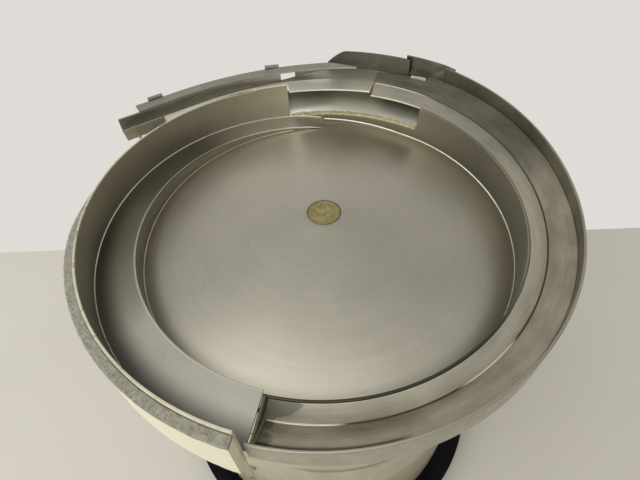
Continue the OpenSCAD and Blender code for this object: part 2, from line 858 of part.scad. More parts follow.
clamp_l = 26;
clamp_w = 20;
core_bolt_x = core_w/2 + clamp_l - clamp_w/2;
module core_clamps() {
    color("#77756C")
        difference() {
            union() {
                translate([-core_w/2 - clamp_l, -core_d/2, body_top_z])
                    cube([core_w + 2*clamp_l, core_d, core_foot]);
                for (x = [-core_w/2 - core_foot, core_w/2])
                    translate([x, -core_d/2, body_top_z])
                        cube([core_foot, core_d, clamp_w]);
            }
            for (k = [-1, 1])
                translate([k*core_bolt_x, 0, body_top_z - over])
                    cylinder(r = arm_bolt_r + hole_fit, h = core_foot + 2*over, $fn = 32);
        }
}

module core_bolts() {
    color("#C9C6B8")
        for (k = [-1, 1])
            translate([k*core_bolt_x, 0, body_top_z]) {
                translate([0, 0, core_foot])
                    cylinder(r = arm_head_r, h = arm_head_h, $fn = 6);
                cylinder(r = arm_bolt_r, h = core_foot + fit, $fn = 32);
            }
}

module base_plate() {
    color("#15151A")
        difference() {
            translate([0, 0, foot_h])
                cylinder(r = base_r, h = base_t, $fn = 180);
            for (a = [0:90:270])
                rotate([0, 0, a]) {
                    translate([base_hole_pcd_r, 0, 0])
                        cylinder(r = base_hole_r, h = foot_h + base_t + over, $fn = 32);
                    translate([body_bolt_pcd_r, 0, 0])
                        cylinder(r = body_bolt_r + hole_fit, h = foot_h + base_t + over, $fn = 32);
                }
        }
}

foot_r = 14;
module rubber_feet() {
    color("#101010")
        for (a = [0:90:270])
            rotate([0, 0, a])
                translate([base_hole_pcd_r, 0, 0])
                    difference() {
                        cylinder(r = foot_r, h = foot_h, $fn = 48);
                        translate([0, 0, -over])
                            cylinder(r = base_hole_r, h = foot_h + 2*over, $fn = 32);
                    }
}

ring_w = 9;
ring_h = 20;
screw_r = 2;
screw_head_r = 4;
screw_head_h = 2.2;
screw_places = [20, 110, 200, 290];
module housing_ring() {
    color("#77756C")
        difference() {
            translate([0, 0, plate_top_z])
                cylinder(r = housing_r - housing_t - fit, h = ring_h, $fn = 180);
            translate([0, 0, plate_top_z - over])
                cylinder(r = housing_r - housing_t - fit - ring_w, h = ring_h + 2*over, $fn = 180);
            for (a = screw_places)
                radial_hole(a, plate_top_z + ring_h/2, screw_r + hole_fit/2);
        }
}

drill_in = 20;
drill_l = 36;
module radial_hole(a, z, r, y = 0) {
    rotate([0, 0, a])
        translate([housing_r - drill_in, y, z])
            rotate([0, 90, 0])
                cylinder(r = r, h = drill_l, $fn = 32);
}

// The housing is one rolled sheet whose ends meet in an upright seam
seam_a = 239;
seam_w = 1.2;
seam_pitch = 75;
seam_low = 60;
seam_zs = [for (i = [0:3]) plate_top_z + seam_low/2 + i*seam_pitch];
seam_screw_y = 8;
gland_a = 75;
gland_z = 70;
gland_r = 10;
vent_r = 4;
earth_a = 95;
module drive_housing() {
    color("#C5BF9C")
        difference() {
            translate([0, 0, plate_top_z])
                cylinder(r = housing_r, h = housing_top_z - plate_top_z, $fn = 180);
            translate([0, 0, plate_top_z - over])
                cylinder(r = housing_r - housing_t, h = housing_top_z, $fn = 180);
            for (a = screw_places)
                radial_hole(a, plate_top_z + ring_h/2, screw_r + hole_fit/2);
            rotate([0, 0, seam_a])
                translate([housing_r - drill_in, -seam_w/2, plate_top_z - over])
                    cube([drill_l, seam_w, housing_top_z]);
            for (z = seam_zs, y = [-seam_screw_y, seam_screw_y])
                radial_hole(seam_a, z, screw_r + hole_fit/2, y);
            radial_hole(gland_a, gland_z, gland_r + hole_fit/2);
            radial_hole(earth_a, gland_z, vent_r);
        }
}

module radial_screw(a, z, y, l) {
    rotate([0, 0, a])
        translate([0, y, z])
            rotate([0, 90, 0]) {
                translate([0, 0, housing_r + fit/2])
                    cylinder(r = screw_head_r, h = screw_head_h, $fn = 32);
                translate([0, 0, housing_r - l])
                    cylinder(r = screw_r, h = l + fit, $fn = 32);
            }
}

module housing_screws() {
    color("#C9C6B8")
        for (a = screw_places)
            radial_screw(a, plate_top_z + ring_h/2, 0, housing_t + ring_w/2);
}

strip_half = 14;
strip_depth = 3;
strip_sag = 0.6;
module seam_strip() {
    color("#77756C")
        difference() {
            rotate([0, 0, seam_a])
                translate([housing_r - housing_t - strip_sag - strip_depth, -strip_half,
                    plate_top_z + ring_h + over])
                    cube([strip_depth, 2*strip_half, housing_top_z - plate_top_z - ring_h - 2*over]);
            for (z = seam_zs, y = [-seam_screw_y, seam_screw_y])
                radial_hole(seam_a, z, screw_r + hole_fit/2, y);
        }
}

module seam_screws() {
    color("#C9C6B8")
        for (z = seam_zs, y = [-seam_screw_y, seam_screw_y])
            radial_screw(seam_a, z, y, housing_t + strip_sag + strip_depth);
}

gland_hex_r = 14;
gland_hex_h = 5;
gland_l = 22;
gland_dome = 8;
cable_r = 4;
module cable_gland() {
    color("#202024")
        rotate([0, 0, gland_a])
            translate([housing_r, 0, gland_z])
                rotate([0, 90, 0])
                    difference() {
                        union() {
                            translate([0, 0, fit])
                                cylinder(r = gland_hex_r, h = gland_hex_h, $fn = 6);
                            translate([0, 0, -gland_dome])
                                cylinder(r = gland_r, h = gland_l + gland_dome, $fn = 48);
                        }
                        translate([0, 0, -gland_dome - over])
                            cylinder(r = cable_r, h = gland_l + 2*gland_dome, $fn = 32);
                    }
}

module gland_nut() {
    color("#202024")
        rotate([0, 0, gland_a])
            translate([housing_r - housing_t - fit - gland_hex_h - strip_sag, 0, gland_z])
                rotate([0, 90, 0])
                    difference() {
                        cylinder(r = gland_hex_r, h = gland_hex_h, $fn = 6);
                        translate([0, 0, -over])
                            cylinder(r = gland_r + fit, h = gland_hex_h + 2*over, $fn = 48);
                    }
}

earth_l = 16;
module earth_stud() {
    color("#B08D3C")
        rotate([0, 0, earth_a])
            translate([housing_r - housing_t - gland_dome/2, 0, gland_z])
                rotate([0, 90, 0]) {
                    cylinder(r = vent_r - hole_fit, h = earth_l, $fn = 32);
                    translate([0, 0, housing_t + gland_dome/2 + fit])
                        cylinder(r = vent_r + screw_r, h = screw_head_h, $fn = 6);
                }
}

bowl_floor();
floor_apron();
centre_plug();
centre_bolt();
bowl_hub();
bowl_base_plate();
bowl_skirt();
inner_ramp();
ramp_riser();
spiral_wall();
step_plate();
track_inner_flank();
track_outer_flank();
outer_wall();
rear_skirt();
return_tray();
outlet_track();
inner_guide_strip();
outlet_near_wall();
outlet_rail();
rail_lugs();
guard_plate();
lap_plate();
wear_lip();
damping_layer();
support_ribs();
outlet_brackets();
drive_top_plate();
bowl_spacer();
armature();
armature_bracket();
armature_bolts();
upper_clamp_plates();
upper_spring_spacers();
upper_spring_bolts();
leaf_springs();
lower_clamp_plates();
lower_spring_spacers();
lower_spring_bolts();
drive_body();
body_bolts();
magnet_core();
magnet_coil();
core_clamps();
core_bolts();
base_plate();
rubber_feet();
housing_ring();
drive_housing();
housing_screws();
seam_strip();
seam_screws();
cable_gland();
gland_nut();
earth_stud();
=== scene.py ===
import json
import math

import bmesh
import bpy
import numpy as np
from mathutils import Matrix, Vector


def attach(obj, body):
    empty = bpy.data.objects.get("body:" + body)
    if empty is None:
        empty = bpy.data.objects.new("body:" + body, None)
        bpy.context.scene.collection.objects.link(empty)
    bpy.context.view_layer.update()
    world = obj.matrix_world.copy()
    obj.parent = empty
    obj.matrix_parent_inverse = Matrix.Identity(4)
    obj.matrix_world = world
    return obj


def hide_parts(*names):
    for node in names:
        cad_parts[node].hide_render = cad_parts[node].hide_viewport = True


MM = 0.001
TURN = 360.0

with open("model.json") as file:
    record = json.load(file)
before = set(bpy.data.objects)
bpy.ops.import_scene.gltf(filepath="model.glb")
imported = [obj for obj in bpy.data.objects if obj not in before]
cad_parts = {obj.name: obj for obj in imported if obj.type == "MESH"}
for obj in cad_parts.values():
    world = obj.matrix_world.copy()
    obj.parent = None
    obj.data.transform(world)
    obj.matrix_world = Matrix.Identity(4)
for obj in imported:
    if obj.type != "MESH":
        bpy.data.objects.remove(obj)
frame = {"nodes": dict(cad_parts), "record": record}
bpy.context.scene.view_settings.view_transform = "Standard"
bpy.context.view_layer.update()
nodes = frame["nodes"]


# Camera first: it stands in front of the bowl and looks down into it.
CAMERA_PLACE = Vector((-7, -336, 815)) * MM
CAMERA_DOWN, CAMERA_YAW, CAMERA_ROLL = 49.77, 0.30, -2.01
CAMERA_LENS = 26.4


def set_camera():
    down, yaw, roll = (math.radians(v) for v in (CAMERA_DOWN, CAMERA_YAW, CAMERA_ROLL))
    ahead = Vector((math.sin(yaw) * math.cos(down), math.cos(yaw) * math.cos(down), -math.sin(down)))
    side = Vector((math.cos(yaw), -math.sin(yaw), 0))
    up = side.cross(ahead)
    rolled_side = side * math.cos(roll) + up * math.sin(roll)
    rolled_up = up * math.cos(roll) - side * math.sin(roll)
    data = bpy.data.cameras.new("photo_view")
    data.lens, data.sensor_width, data.clip_start = CAMERA_LENS, 36.0, 0.01
    camera = bpy.data.objects.new("photo_view", data)
    rows = Matrix((rolled_side, rolled_up, -ahead)).transposed().to_4x4()
    camera.matrix_world = Matrix.Translation(CAMERA_PLACE) @ rows
    bpy.context.scene.collection.objects.link(camera)
    bpy.context.scene.camera = camera


set_camera()


# Shape of the sheets, in millimetres and degrees, as the CAD has it.
BOWL_R, OUTER_R, OUTER_FULL_R, WALL_T, TRACK_T, FIT, SLIT = 199.0, 239.0, 243.0, 2.5, 2.0, 0.2, 0.3
FLOOR_EDGE_Z, FLOOR_RISE, PLUG_R, FLOOR_T = 430.0, 32.0, 17.5, 2.5
RAMP_START_R, RAMP_END_R, RAMP_CLIMB, RAMP_TILT, RIM_OVER_RAMP = 182.0, 198.0, 35.5, 2.5, 41.0
STEP_A, RAMP_A, WINDOW_A, WINDOW_END_A = 254.5, 448.0, 411.5, 460.5
SPREAD_A, SPIRAL_A, END_A, TRACK_A, TRACK_END_A = 418.0, 457.0, 614.5, 255.6, 430.6
SPIRAL_R, OUTER_END_A, REAR_END_A, OUTER_LOW_Z = 211.0, 410.5, 457.0, 448.0
RAIL_C, WEB_R, CHANNEL_R, OUTLET_Z, OUTLET_L = (-23.0, -61.0), 278.0, 264.0, 473.0, 82.0
PLATE_A, OUTLET_A, STRIP_L, STRIP_Z, STRIP_T = 70.4, 121.0, 33.0, 484.5, 2.0
WEB_H, WEB_A, FLANGE_A, FLANGE_L, FLANGE_W = 19.5, 95.0, 75.0, 56.0, 14.0
WALL_JOIN_A, OUTER_GROW_A, OUTER_GROWN_A = 93.0, 355.0, 400.0
INNER_Z, INNER_RISE, RIM_Z, RIM_RISE, SILL_START_H, SILL_END_H = 465.0, 11.0, 476.0, 35.0, 14.0, 4.0
RAMP_TIP_T, RAMP_FULL_A, LEFT_FOOT_DROP, CREASE_OUT, CREASE_SHIFT = 0.4, 454.0, 8.0, 15.0, 7.0
CREASE_Z, CREASE_RISE, CREASE_END_RISE, FLANK_H, FLANK_FALL = 452.0, 28.0, 1.5, 14.5, 8.0
STRIP_FLARE, STRIP_W, STRIP_WIDEN, FLANGE_RISE = 24.0, 21.0, 6.5, 12.0
PLATE_Z, PLATE_FALL_SHARE, PLATE_WIDE_R, PLATE_WIDE_A, PLATE_NARROW_A = 482.0, 0.4, 305.0, 76.0, 97.0
DISH_H, DISH_A, DISH_END_A = 4.5, 88.0, 105.0
WALL_FOOT, OUTER_T, RISER_A, RISER_T, CRESCENT_A, STEP_PLATE_H = 6.0, 2.5, 453.0, 1.5, 423.0, 24.0
STEP_PLATE_A, WELD_A = (254.8, 255.05, 255.3), 461.0
BEFORE_NOTCH_A, NOTCH_A, NOTCH_END_A, AFTER_NOTCH_A, NOTCH_W = 414.7, 415.0, 419.8, 420.1, 7.0
LIP_H, LIP_T, FLANK_END_R, REAR_TOP_Z, TRAY_RISE, TRAY_NARROW = 5.0, 1.5, 239.6, 486.0, 24.0, 5.0
STRIP_LEDGE, BESIDE_A, LOW_WALL_H, LOW_WALL_SINK, LOW_WALL_T = 3.0, 472.0, 12.0, 2.8, 1.8
FLANGE_FULL_A, FLANGE_TIP_SHARE, RAIL_T = 82.0, 0.14, 2.0
LUG_PLACES, LUG_ENDS = ((97.0, 0.0), (121.0, 30.0)), (-9.0, -8.2, 8.2, 9.0)
LUG_T, LUG_W, LUG_SINK = 6.0, 5.0, 4.0
GUARD_A, GUARD_FALL_A, GUARD_END_A, GUARD_FALL = 421.0, 441.0, 446.5, 15.0
GUARD_R, GUARD_LOW_Z, GUARD_TOP_Z, GUARD_T = 240.0, 487.0, 510.0, 2.0
LAP_A, LAP_END_A, LAP_OUT, LAP_LOW_Z, LAP_RISE, LAP_T = 407.5, 422.5, 2.7, 470.0, 1.0, 2.0
DAMP_A, DAMP_ROUGH_A, DAMP_FULL_A, DAMP_START_T, DAMP_T, DAMP_BELOW = 528.0, 545.0, 556.0, 1.5, 8.5, 2.5
TORN_A, TORN_FULL_A, TORN_END_A, TORN_START_T, TORN_T, TORN_H = 500.0, 506.0, 528.5, 0.4, 2.8, 9.0
OUTWARD_LIMIT = 0.35

# Places along the straight end of the outlet, from its bend.
FLOOR_STOPS = (11.0, 22.0, STRIP_L, 34.0, 50.0, 66.0, OUTLET_L)
STRIP_STOPS = (8.0, 16.5, 25.0, STRIP_L)
LOW_WALL_STOPS = (34.0, 46.0, 58.0, 70.0, OUTLET_L)
WEB_STOPS = (20.0, 40.0, 60.0, OUTLET_L)
FLANGE_STOPS = (20.0, 40.0, FLANGE_L)

# Rounding of the edges, and the turn between two sections of a sheet.
COAT_EDGE, WALL_EDGE, LUG_EDGE, RAIL_EDGE, SHEET_EDGE, THIN_EDGE = 1.2, 0.9, 0.8, 0.6, 0.5, 0.4
TORN_EDGE, RAMP_EDGE, GLUE_EDGE, RISER_EDGE, WELD_EDGE, BEAD_EDGE = 0.8, 0.6, 0.5, 0.3, 0.3, 0.2
FINE_TURN, PLATE_TURN, DAMP_TURN, GLUE_TURN, TORN_TURN = 0.6, 0.5, 0.35, 0.3, 0.25


def share(v, a, b):
    return np.clip((v - a) / (b - a), 0.0, 1.0)


def mix(a, b, k):
    return a + (b - a) * k


def smooth(k):
    return k * k * (3 - 2 * k)


def spot(c, a, s, d, z):
    a = np.radians(a)
    return np.array([c[0] + d * np.cos(a) - s * np.sin(a), c[1] + d * np.sin(a) + s * np.cos(a), z])


def floor_z(r):
    seat = BOWL_R - FIT
    return FLOOR_EDGE_Z + FLOOR_RISE * (seat - r) / (seat - PLUG_R)


def wall_r(a):
    if a <= SPIRAL_A:
        return mix(BOWL_R, SPIRAL_R, share(a, SPREAD_A, SPIRAL_A))
    return mix(SPIRAL_R, OUTER_FULL_R, share(a, SPIRAL_A, END_A))


def outer_at(a):
    return mix(OUTER_R, OUTER_FULL_R, smooth(share(a, OUTER_GROW_A, OUTER_GROWN_A)))


def ramp_z(a):
    return floor_z(RAMP_START_R) + FIT + TRACK_T + RAMP_CLIMB * share(a, RAMP_A, END_A)


def ramp_r(a):
    return mix(RAMP_START_R, RAMP_END_R, share(a, RAMP_A, END_A))


def inner_top(a):
    return INNER_Z + INNER_RISE * share(a, STEP_A, WINDOW_A)


def sill_z(a):
    return FLOOR_EDGE_Z + mix(SILL_START_H, SILL_END_H, share(a, WINDOW_A, WINDOW_END_A))


def ramp_t(a):
    return mix(RAMP_TIP_T, TRACK_T, share(a, RAMP_A, RAMP_FULL_A))


def rim_top(a):
    return max(ramp_z(a) + RIM_OVER_RAMP, STRIP_Z - STRIP_T - FIT)


def left_foot(a):
    return min(OUTER_LOW_Z, ramp_z(a) - LEFT_FOOT_DROP)


def crease_r(a):
    return BOWL_R + CREASE_OUT + CREASE_SHIFT * smooth(share(a, STEP_A, WINDOW_A))


def crease_z(a):
    rise = CREASE_RISE * share(a, STEP_A, WINDOW_A)
    return CREASE_Z + rise + CREASE_END_RISE * share(a, WINDOW_A, TRACK_END_A)


def flank_z(a):
    return crease_z(a) + FLANK_H - FLANK_FALL * smooth(share(a, WINDOW_A, TRACK_END_A))


def rim_at(a):
    return RIM_Z + RIM_RISE * share(a, STEP_A, WINDOW_A)


def strip_out(a):
    return CHANNEL_R + STRIP_FLARE * (1 - share(a, PLATE_A, OUTLET_A)) ** 1.3


def strip_in(a):
    return strip_out(a) - STRIP_W - STRIP_WIDEN * (1 - share(a, PLATE_A, OUTLET_A)) ** 2


ARC_L = WEB_R * math.radians(OUTLET_A - PLATE_A)


def plate_z(a, s):
    run = ARC_L * share(a, PLATE_A, OUTLET_A) + s
    return mix(PLATE_Z, OUTLET_Z, smooth(share(run, PLATE_FALL_SHARE * ARC_L, ARC_L + OUTLET_L)))


def plate_dish(a):
    return DISH_H * (1 - smooth(share(a, DISH_A, DISH_END_A)))


def plate_out(a):
    narrowed = smooth(share(a, PLATE_WIDE_A, PLATE_NARROW_A))
    return mix(PLATE_WIDE_R, WEB_R + TRACK_T, narrowed)


def flange_top(a):
    return OUTLET_Z + WEB_H + FLANGE_RISE * (1 - share(a, FLANGE_A, OUTLET_A)) ** 2


def circle_d(a, s, r):
    p = spot(RAIL_C, a, s, 0, 0)
    b = p[0] * math.cos(math.radians(a)) + p[1] * math.sin(math.radians(a))
    return math.sqrt(b * b - p[0] ** 2 - p[1] ** 2 + r * r) - b


def axis_a(a, s, d):
    p = spot(RAIL_C, a, s, d, 0)
    return TURN + math.degrees(math.atan2(p[1], p[0]))


def wall_d(a, s, grow):
    d = circle_d(a, s, wall_r(axis_a(a, s, CHANNEL_R)) + grow)
    return circle_d(a, s, wall_r(axis_a(a, s, d)) + grow)


def plate_in(a):
    inner = strip_out(a) - STRIP_LEDGE
    return max(inner, wall_d(a, 0, WALL_T + 2 * FIT)) if a > WALL_JOIN_A else inner


AXIS = (0.0, 0.0)


def polar(a, d, z):
    return spot(AXIS, a, 0, d, z)


def upright(c, a, s, d, z0, z1, t):
    return [spot(c, a, s, d, z0), spot(c, a, s, d + t, z0),
            spot(c, a, s, d + t, z1), spot(c, a, s, d, z1)]


def lying(c, a, s, d0, z0, d1, z1, t):
    return [spot(c, a, s, d0, z0 - t), spot(c, a, s, d1, z1 - t),
            spot(c, a, s, d1, z1), spot(c, a, s, d0, z0)]


def sweep(a, b, step=0.75):
    n = max(1, math.ceil((b - a) / step))
    return [a + (b - a) * i / n for i in range(n + 1)]


EDGE_MARGIN, SHARP_ANGLE = 0.9, 38.0


def eased(section, radius):
    """Section of a sheet with its corners rounded and a flat margin kept beside each."""
    out = []
    n = len(section)
    for i, p in enumerate(section):
        before, after = section[i - 1] - p, section[(i + 1) % n] - p
        lb, la = np.linalg.norm(before), np.linalg.norm(after)
        tb, ta = min(radius, 0.42 * lb), min(radius, 0.42 * la)
        b, f = p + before / lb * tb, p + after / la * ta
        out.append(p + before / lb * min(tb + EDGE_MARGIN, 0.49 * lb))
        for k in (0.0, 0.3, 0.7, 1.0):
            out.append(b * (1 - k) ** 2 + p * (2 * k * (1 - k)) + f * k * k)
        out.append(p + after / la * min(ta + EDGE_MARGIN, 0.49 * la))
    return out


def add_mesh(name, points, faces, finishes, body="bowl_unit"):
    mesh = bpy.data.meshes.new(name)
    mesh.from_pydata([tuple(v * MM for v in p) for p in points], [], faces)
    mesh.validate()
    work = bmesh.new()
    work.from_mesh(mesh)
    bmesh.ops.recalc_face_normals(work, faces=work.faces)
    work.to_mesh(mesh)
    work.free()
    for key in finishes:
        mesh.materials.append(looks[key])
    mesh.shade_smooth()
    mesh.set_sharp_from_angle(angle=math.radians(SHARP_ANGLE))
    piece = bpy.data.objects.new(name, mesh)
    bpy.context.scene.collection.objects.link(piece)
    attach(piece, body)
    return piece


def skin(name, runs, finishes, radius, marks=None):
    """One piece made of runs of sections.

    marks names an attribute that holds how far each point lies below the top of its section.
    """
    points, faces, values = [], [], []
    for rows in runs:
        rounded = [eased(row, radius) for row in rows]
        n, m, start = len(rounded[0]), len(rounded), len(points)
        for row in rounded:
            points += row
        for i in range(m - 1):
            for j in range(n):
                k = (j + 1) % n
                here, after = start + i * n, start + (i + 1) * n
                faces.append((here + j, here + k, after + k, after + j))
        faces.append(tuple(start + j for j in reversed(range(n))))
        faces.append(tuple(start + (m - 1) * n + j for j in range(n)))
        if marks:
            for row in rounded:
                top = max(p[2] for p in row)
                values += [top - p[2] for p in row]
    piece = add_mesh(name, points, faces, finishes)
    if marks:
        layer = piece.data.attributes.new(marks, "FLOAT", "POINT")
        layer.data.foreach_set("value", np.array(values, np.float32))
    return piece


class Wire:
    """A shader socket or a plain number, so that shader maths reads as an expression."""

    tree = None

    def __init__(self, socket):
        self.socket = socket

    @staticmethod
    def node(kind, settings=None, output=0, **inputs):
        made = Wire.tree.nodes.new(kind)
        for key, value in (settings or {}).items():
            setattr(made, key, value)
        for key, value in inputs.items():
            numbered = key[0] == "i" and key[1:].isdigit()
            Wire.put(made.inputs[int(key[1:]) if numbered else key.replace("_", " ")], value)
        return Wire(made.outputs[output])

    @staticmethod
    def put(socket, value):
        if isinstance(value, Wire):
            Wire.tree.links.new(value.socket, socket)
        elif isinstance(value, (tuple, list)) and len(value) == 3 and len(socket.default_value) == 4:
            socket.default_value = (*value, 1)
        else:
            socket.default_value = value

    def math(self, operation, *others):
        places = {f"i{n}": v for n, v in enumerate((self, *others))}
        return Wire.node("ShaderNodeMath", {"operation": operation}, **places)

    def __add__(self, other):
        return self.math("ADD", other)

    __radd__ = __add__

    def __sub__(self, other):
        return self.math("SUBTRACT", other)

    def __rsub__(self, other):
        return Wire.node("ShaderNodeMath", {"operation": "SUBTRACT"}, i0=other, i1=self)

    def __mul__(self, other):
        return self.math("MULTIPLY", other)

    __rmul__ = __mul__

    def __truediv__(self, other):
        return self.math("DIVIDE", other)

    def __pow__(self, other):
        return self.math("POWER", other)

    def band(self, low, high):
        """Zero at low, one at high, with a soft step between; low may be the larger."""
        return Wire.node("ShaderNodeMapRange", {"interpolation_type": "SMOOTHSTEP"}, Value=self,
                         From_Min=low, From_Max=high, To_Min=0.0, To_Max=1.0)


def place():
    """Object coordinates in millimetres, and the distance from the bowl axis."""
    here = Wire.node("ShaderNodeTexCoord", output="Object")
    parts = Wire.tree.nodes.new("ShaderNodeSeparateXYZ")
    Wire.put(parts.inputs[0], here)
    x, y, z = (Wire(parts.outputs[i]) * 1000.0 for i in range(3))
    return x, y, z, (x * x + y * y) ** 0.5


def vector(x, y, z):
    return Wire.node("ShaderNodeCombineXYZ", X=x, Y=y, Z=z)


def noise(at, scale=1.0, detail=3.0, rough=0.5, warp=0.0):
    return Wire.node("ShaderNodeTexNoise", Vector=at, Scale=scale, Detail=detail,
                     Roughness=rough, Distortion=warp)


def blend(low, high, mask):
    return Wire.node("ShaderNodeMix", {"data_type": "RGBA"}, output=2, Factor=mask, i6=low, i7=high)


def tint(colour, by):
    """A colour made lighter or darker by a value around one."""
    grey = vector(by, by, by)
    return Wire.node("ShaderNodeVectorMath", {"operation": "MULTIPLY"}, i0=colour, i1=grey)


def bump(height, distance, strength):
    return Wire.node("ShaderNodeBump", Height=height, Strength=strength, Distance=distance)


def surface(colour, rough, normal):
    return {"Base_Color": colour, "Roughness": rough, "Normal": normal}


def mark(name):
    """Value that a sheet's points carry under this name."""
    return Wire.node("ShaderNodeAttribute", {"attribute_name": name}, output="Fac")


def finish(name, build, **constants):
    """A material whose build function returns the links of its surface shader."""
    material = bpy.data.materials.new(name)
    material.use_nodes = True
    Wire.tree = material.node_tree
    Wire.tree.nodes.clear()
    shader = Wire.tree.nodes.new("ShaderNodeBsdfPrincipled")
    target = Wire.tree.nodes.new("ShaderNodeOutputMaterial")
    Wire.tree.links.new(shader.outputs[0], target.inputs[0])
    for key, value in {**constants, **build()}.items():
        Wire.put(shader.inputs[key.replace("_", " ")], value)
    return material


def round_marks(x, y, z, radius, fine=1.2, around=6.0, detail=4.0):
    """Marks that run round the bowl: long round the axis, fine across, with no seam."""
    at = vector(x / radius * around, y / radius * around, radius * fine + z * fine)
    return noise(at, 1.0, detail, 0.6)


def direction(x, y, degrees):
    """One towards a compass angle seen from the bowl axis, minus one away from it."""
    a = math.radians(degrees)
    return (x * math.cos(a) + y * math.sin(a)) / (x * x + y * y + 1.0) ** 0.5


def floor_steel():
    x, y, _, radius = place()
    turned = round_marks(x, y, 0.0, radius, 0.9, 1.6, 5.0)
    rings = round_marks(x, y, 0.0, radius, 0.20, 0.7, 3.0)
    clouds = noise(vector(x, y, 0.0), 0.011, 4.0, 0.6, 0.4)
    smudge = noise(vector(x + 40.0, y, 7.0), 0.03, 5.0, 0.65, 1.2).band(0.56, 0.78)
    scratch = round_marks(x, y, 9.0, radius, 1.6, 9.0, 2.0).band(0.70, 0.80)
    tone = 0.84 + turned * 0.16 + rings * 0.12 + (clouds - 0.5) * 0.22 - smudge * 0.08 + scratch * 0.10
    # Painted reflection: the floor is lighter on its far and near sides and a little darker to the right.
    painted_floor_sheen = y.band(20.0, 170.0) * 0.50 + y.band(-70.0, -180.0) * 0.28 - x.band(80.0, 180.0) * 0.06
    tone = tone * (1.0 + painted_floor_sheen)
    # Painted shade: the floor turns darker towards its outer edge at the foot of the wall.
    steel = blend((0.56, 0.535, 0.455), (0.30, 0.28, 0.215), radius.band(172.0, 201.0) * 0.85)
    rough = 0.32 + turned * 0.10 + (clouds - 0.5) * 0.10 + smudge * 0.08
    return surface(tint(steel, tone), rough, bump(turned + scratch * 0.4, 0.00006, 0.6))


def sheet_steel(light, dark, rough=0.34):
    """Rolled sheet with marks that run round the bowl, soft clouds and a few stains."""
    def build():
        x, y, z, radius = place()
        marks = round_marks(x, y, z, radius, 1.2)
        clouds = noise(vector(x, y, z), 0.02, 4.0, 0.6, 0.5)
        stains = noise(vector(x, y, z * 2.0), 0.07, 5.0, 0.7, 1.5).band(0.55, 0.75)
        mask = (clouds * 0.7 + marks * 0.5 - 0.1).band(0.15, 0.85)
        tone = 0.88 + marks * 0.24 - stains * 0.12
        return surface(tint(blend(dark, light, mask), tone), rough + marks * 0.12 + stains * 0.12,
                       bump(marks, 0.00008, 0.5))
    return build


def ramp_steel():
    x, y, _, radius = place()
    outwards = mark("towards_wall") * 0.4
    marks = round_marks(x, y, 0.0, radius, 1.2, 7.0)
    clouds = noise(vector(x, y, 2.0), 0.016, 4.0, 0.6, 0.6)
    # Painted reflection: lighter towards the near side (250 degrees); painted highlight: lighter still at
    # the ramp's start (95 degrees).
    worn = direction(x, y, 250.0).band(0.0, 0.95)
    tip = direction(x, y, 95.0).band(0.70, 1.0)
    steel = blend((0.26, 0.245, 0.19), (0.62, 0.60, 0.53), worn)
    steel = blend(steel, (0.80, 0.775, 0.68), tip)
    # Painted shade: darker towards 196 degrees.
    steel = tint(steel, 1.0 - direction(x, y, 196.0).band(0.92, 1.0) * 0.36)
    # Painted shade beside the wall, on the left and near side.
    painted_wall_shade = outwards.band(0.35, 0.90) * direction(x, y, 222.0).band(0.35, 0.85)
    # Painted highlight along the ramp's inner edge.
    edge = outwards.band(0.045, 0.02)
    stains = noise(vector(x, y, 5.0), 0.06, 4.0, 0.7, 1.5).band(0.58, 0.8)
    tone = 0.86 + marks * 0.22 + (clouds - 0.5) * 0.22 - stains * 0.10
    tone = tone * (1.0 - painted_wall_shade * 0.72)
    colour = blend(tint(steel, tone), (0.72, 0.70, 0.62), edge * 0.8)
    return surface(colour, 0.34 + marks * 0.12, bump(marks, 0.00008, 0.5))


def wall_steel():
    x, y, z, radius = place()
    marks = round_marks(x, y, z, radius, 1.0, 5.0)
    clouds = noise(vector(x * 0.6, y * 0.6, z), 0.03, 4.0, 0.65, 0.8)
    streaks = noise(vector(x * 1.5, y * 1.5, z * 0.2), 0.12, 3.0, 0.6).band(0.5, 0.75)
    # Painted shade: the wall turns dark towards the near side (245 degrees) and a little darker towards 135
    # degrees.
    near = direction(x, y, 245.0).band(0.72, 0.98)
    tone = 0.86 + marks * 0.20 + (clouds - 0.5) * 0.25 - streaks * 0.08
    tone = tone * (1.0 - direction(x, y, 135.0).band(0.6, 1.0) * 0.22)
    return surface(tint(blend((0.52, 0.485, 0.39), (0.11, 0.10, 0.07), near), tone), 0.38 + clouds * 0.12,
                   bump(marks, 0.00008, 0.5))


def inner_wall_steel():
    x, y, z, radius = place()
    marks = round_marks(x, y, z, radius, 1.2)
    clouds = noise(vector(x, y, z), 0.02, 4.0, 0.6, 0.5)
    # Painted shade: the inner wall turns dark towards 285 degrees and darker towards 55 degrees.
    near = direction(x, y, 285.0).band(0.55, 0.95)
    tone = 0.84 + marks * 0.22 + (clouds - 0.5) * 0.2
    tone = tone * (1.0 - direction(x, y, 55.0).band(0.6, 0.95) * 0.35)
    return surface(tint(blend((0.35, 0.33, 0.265), (0.09, 0.085, 0.065), near), tone), 0.36 + marks * 0.12,
                   bump(marks, 0.00008, 0.5))


def tray_steel():
    x, y, z, radius = place()
    marks = round_marks(x, y, z, radius, 1.2)
    clouds = noise(vector(x, y, z), 0.03, 4.0, 0.6, 0.5)
    # Painted shade: the tray is darker along its upper, outer part under the wall and in its corner at 99
    # degrees.
    upper = (radius + x * 0.05).band(220.0, 231.0)
    corner = direction(x, y, 99.0).band(0.955, 0.99) * radius.band(216.0, 222.0)
    tone = (0.84 + marks * 0.22 + (clouds - 0.5) * 0.3) * (1.0 - upper * 0.35) * (1.0 - corner * 0.5)
    return surface(tint((0.66, 0.65, 0.60), tone), 0.32 + marks * 0.12, bump(marks, 0.00008, 0.5))


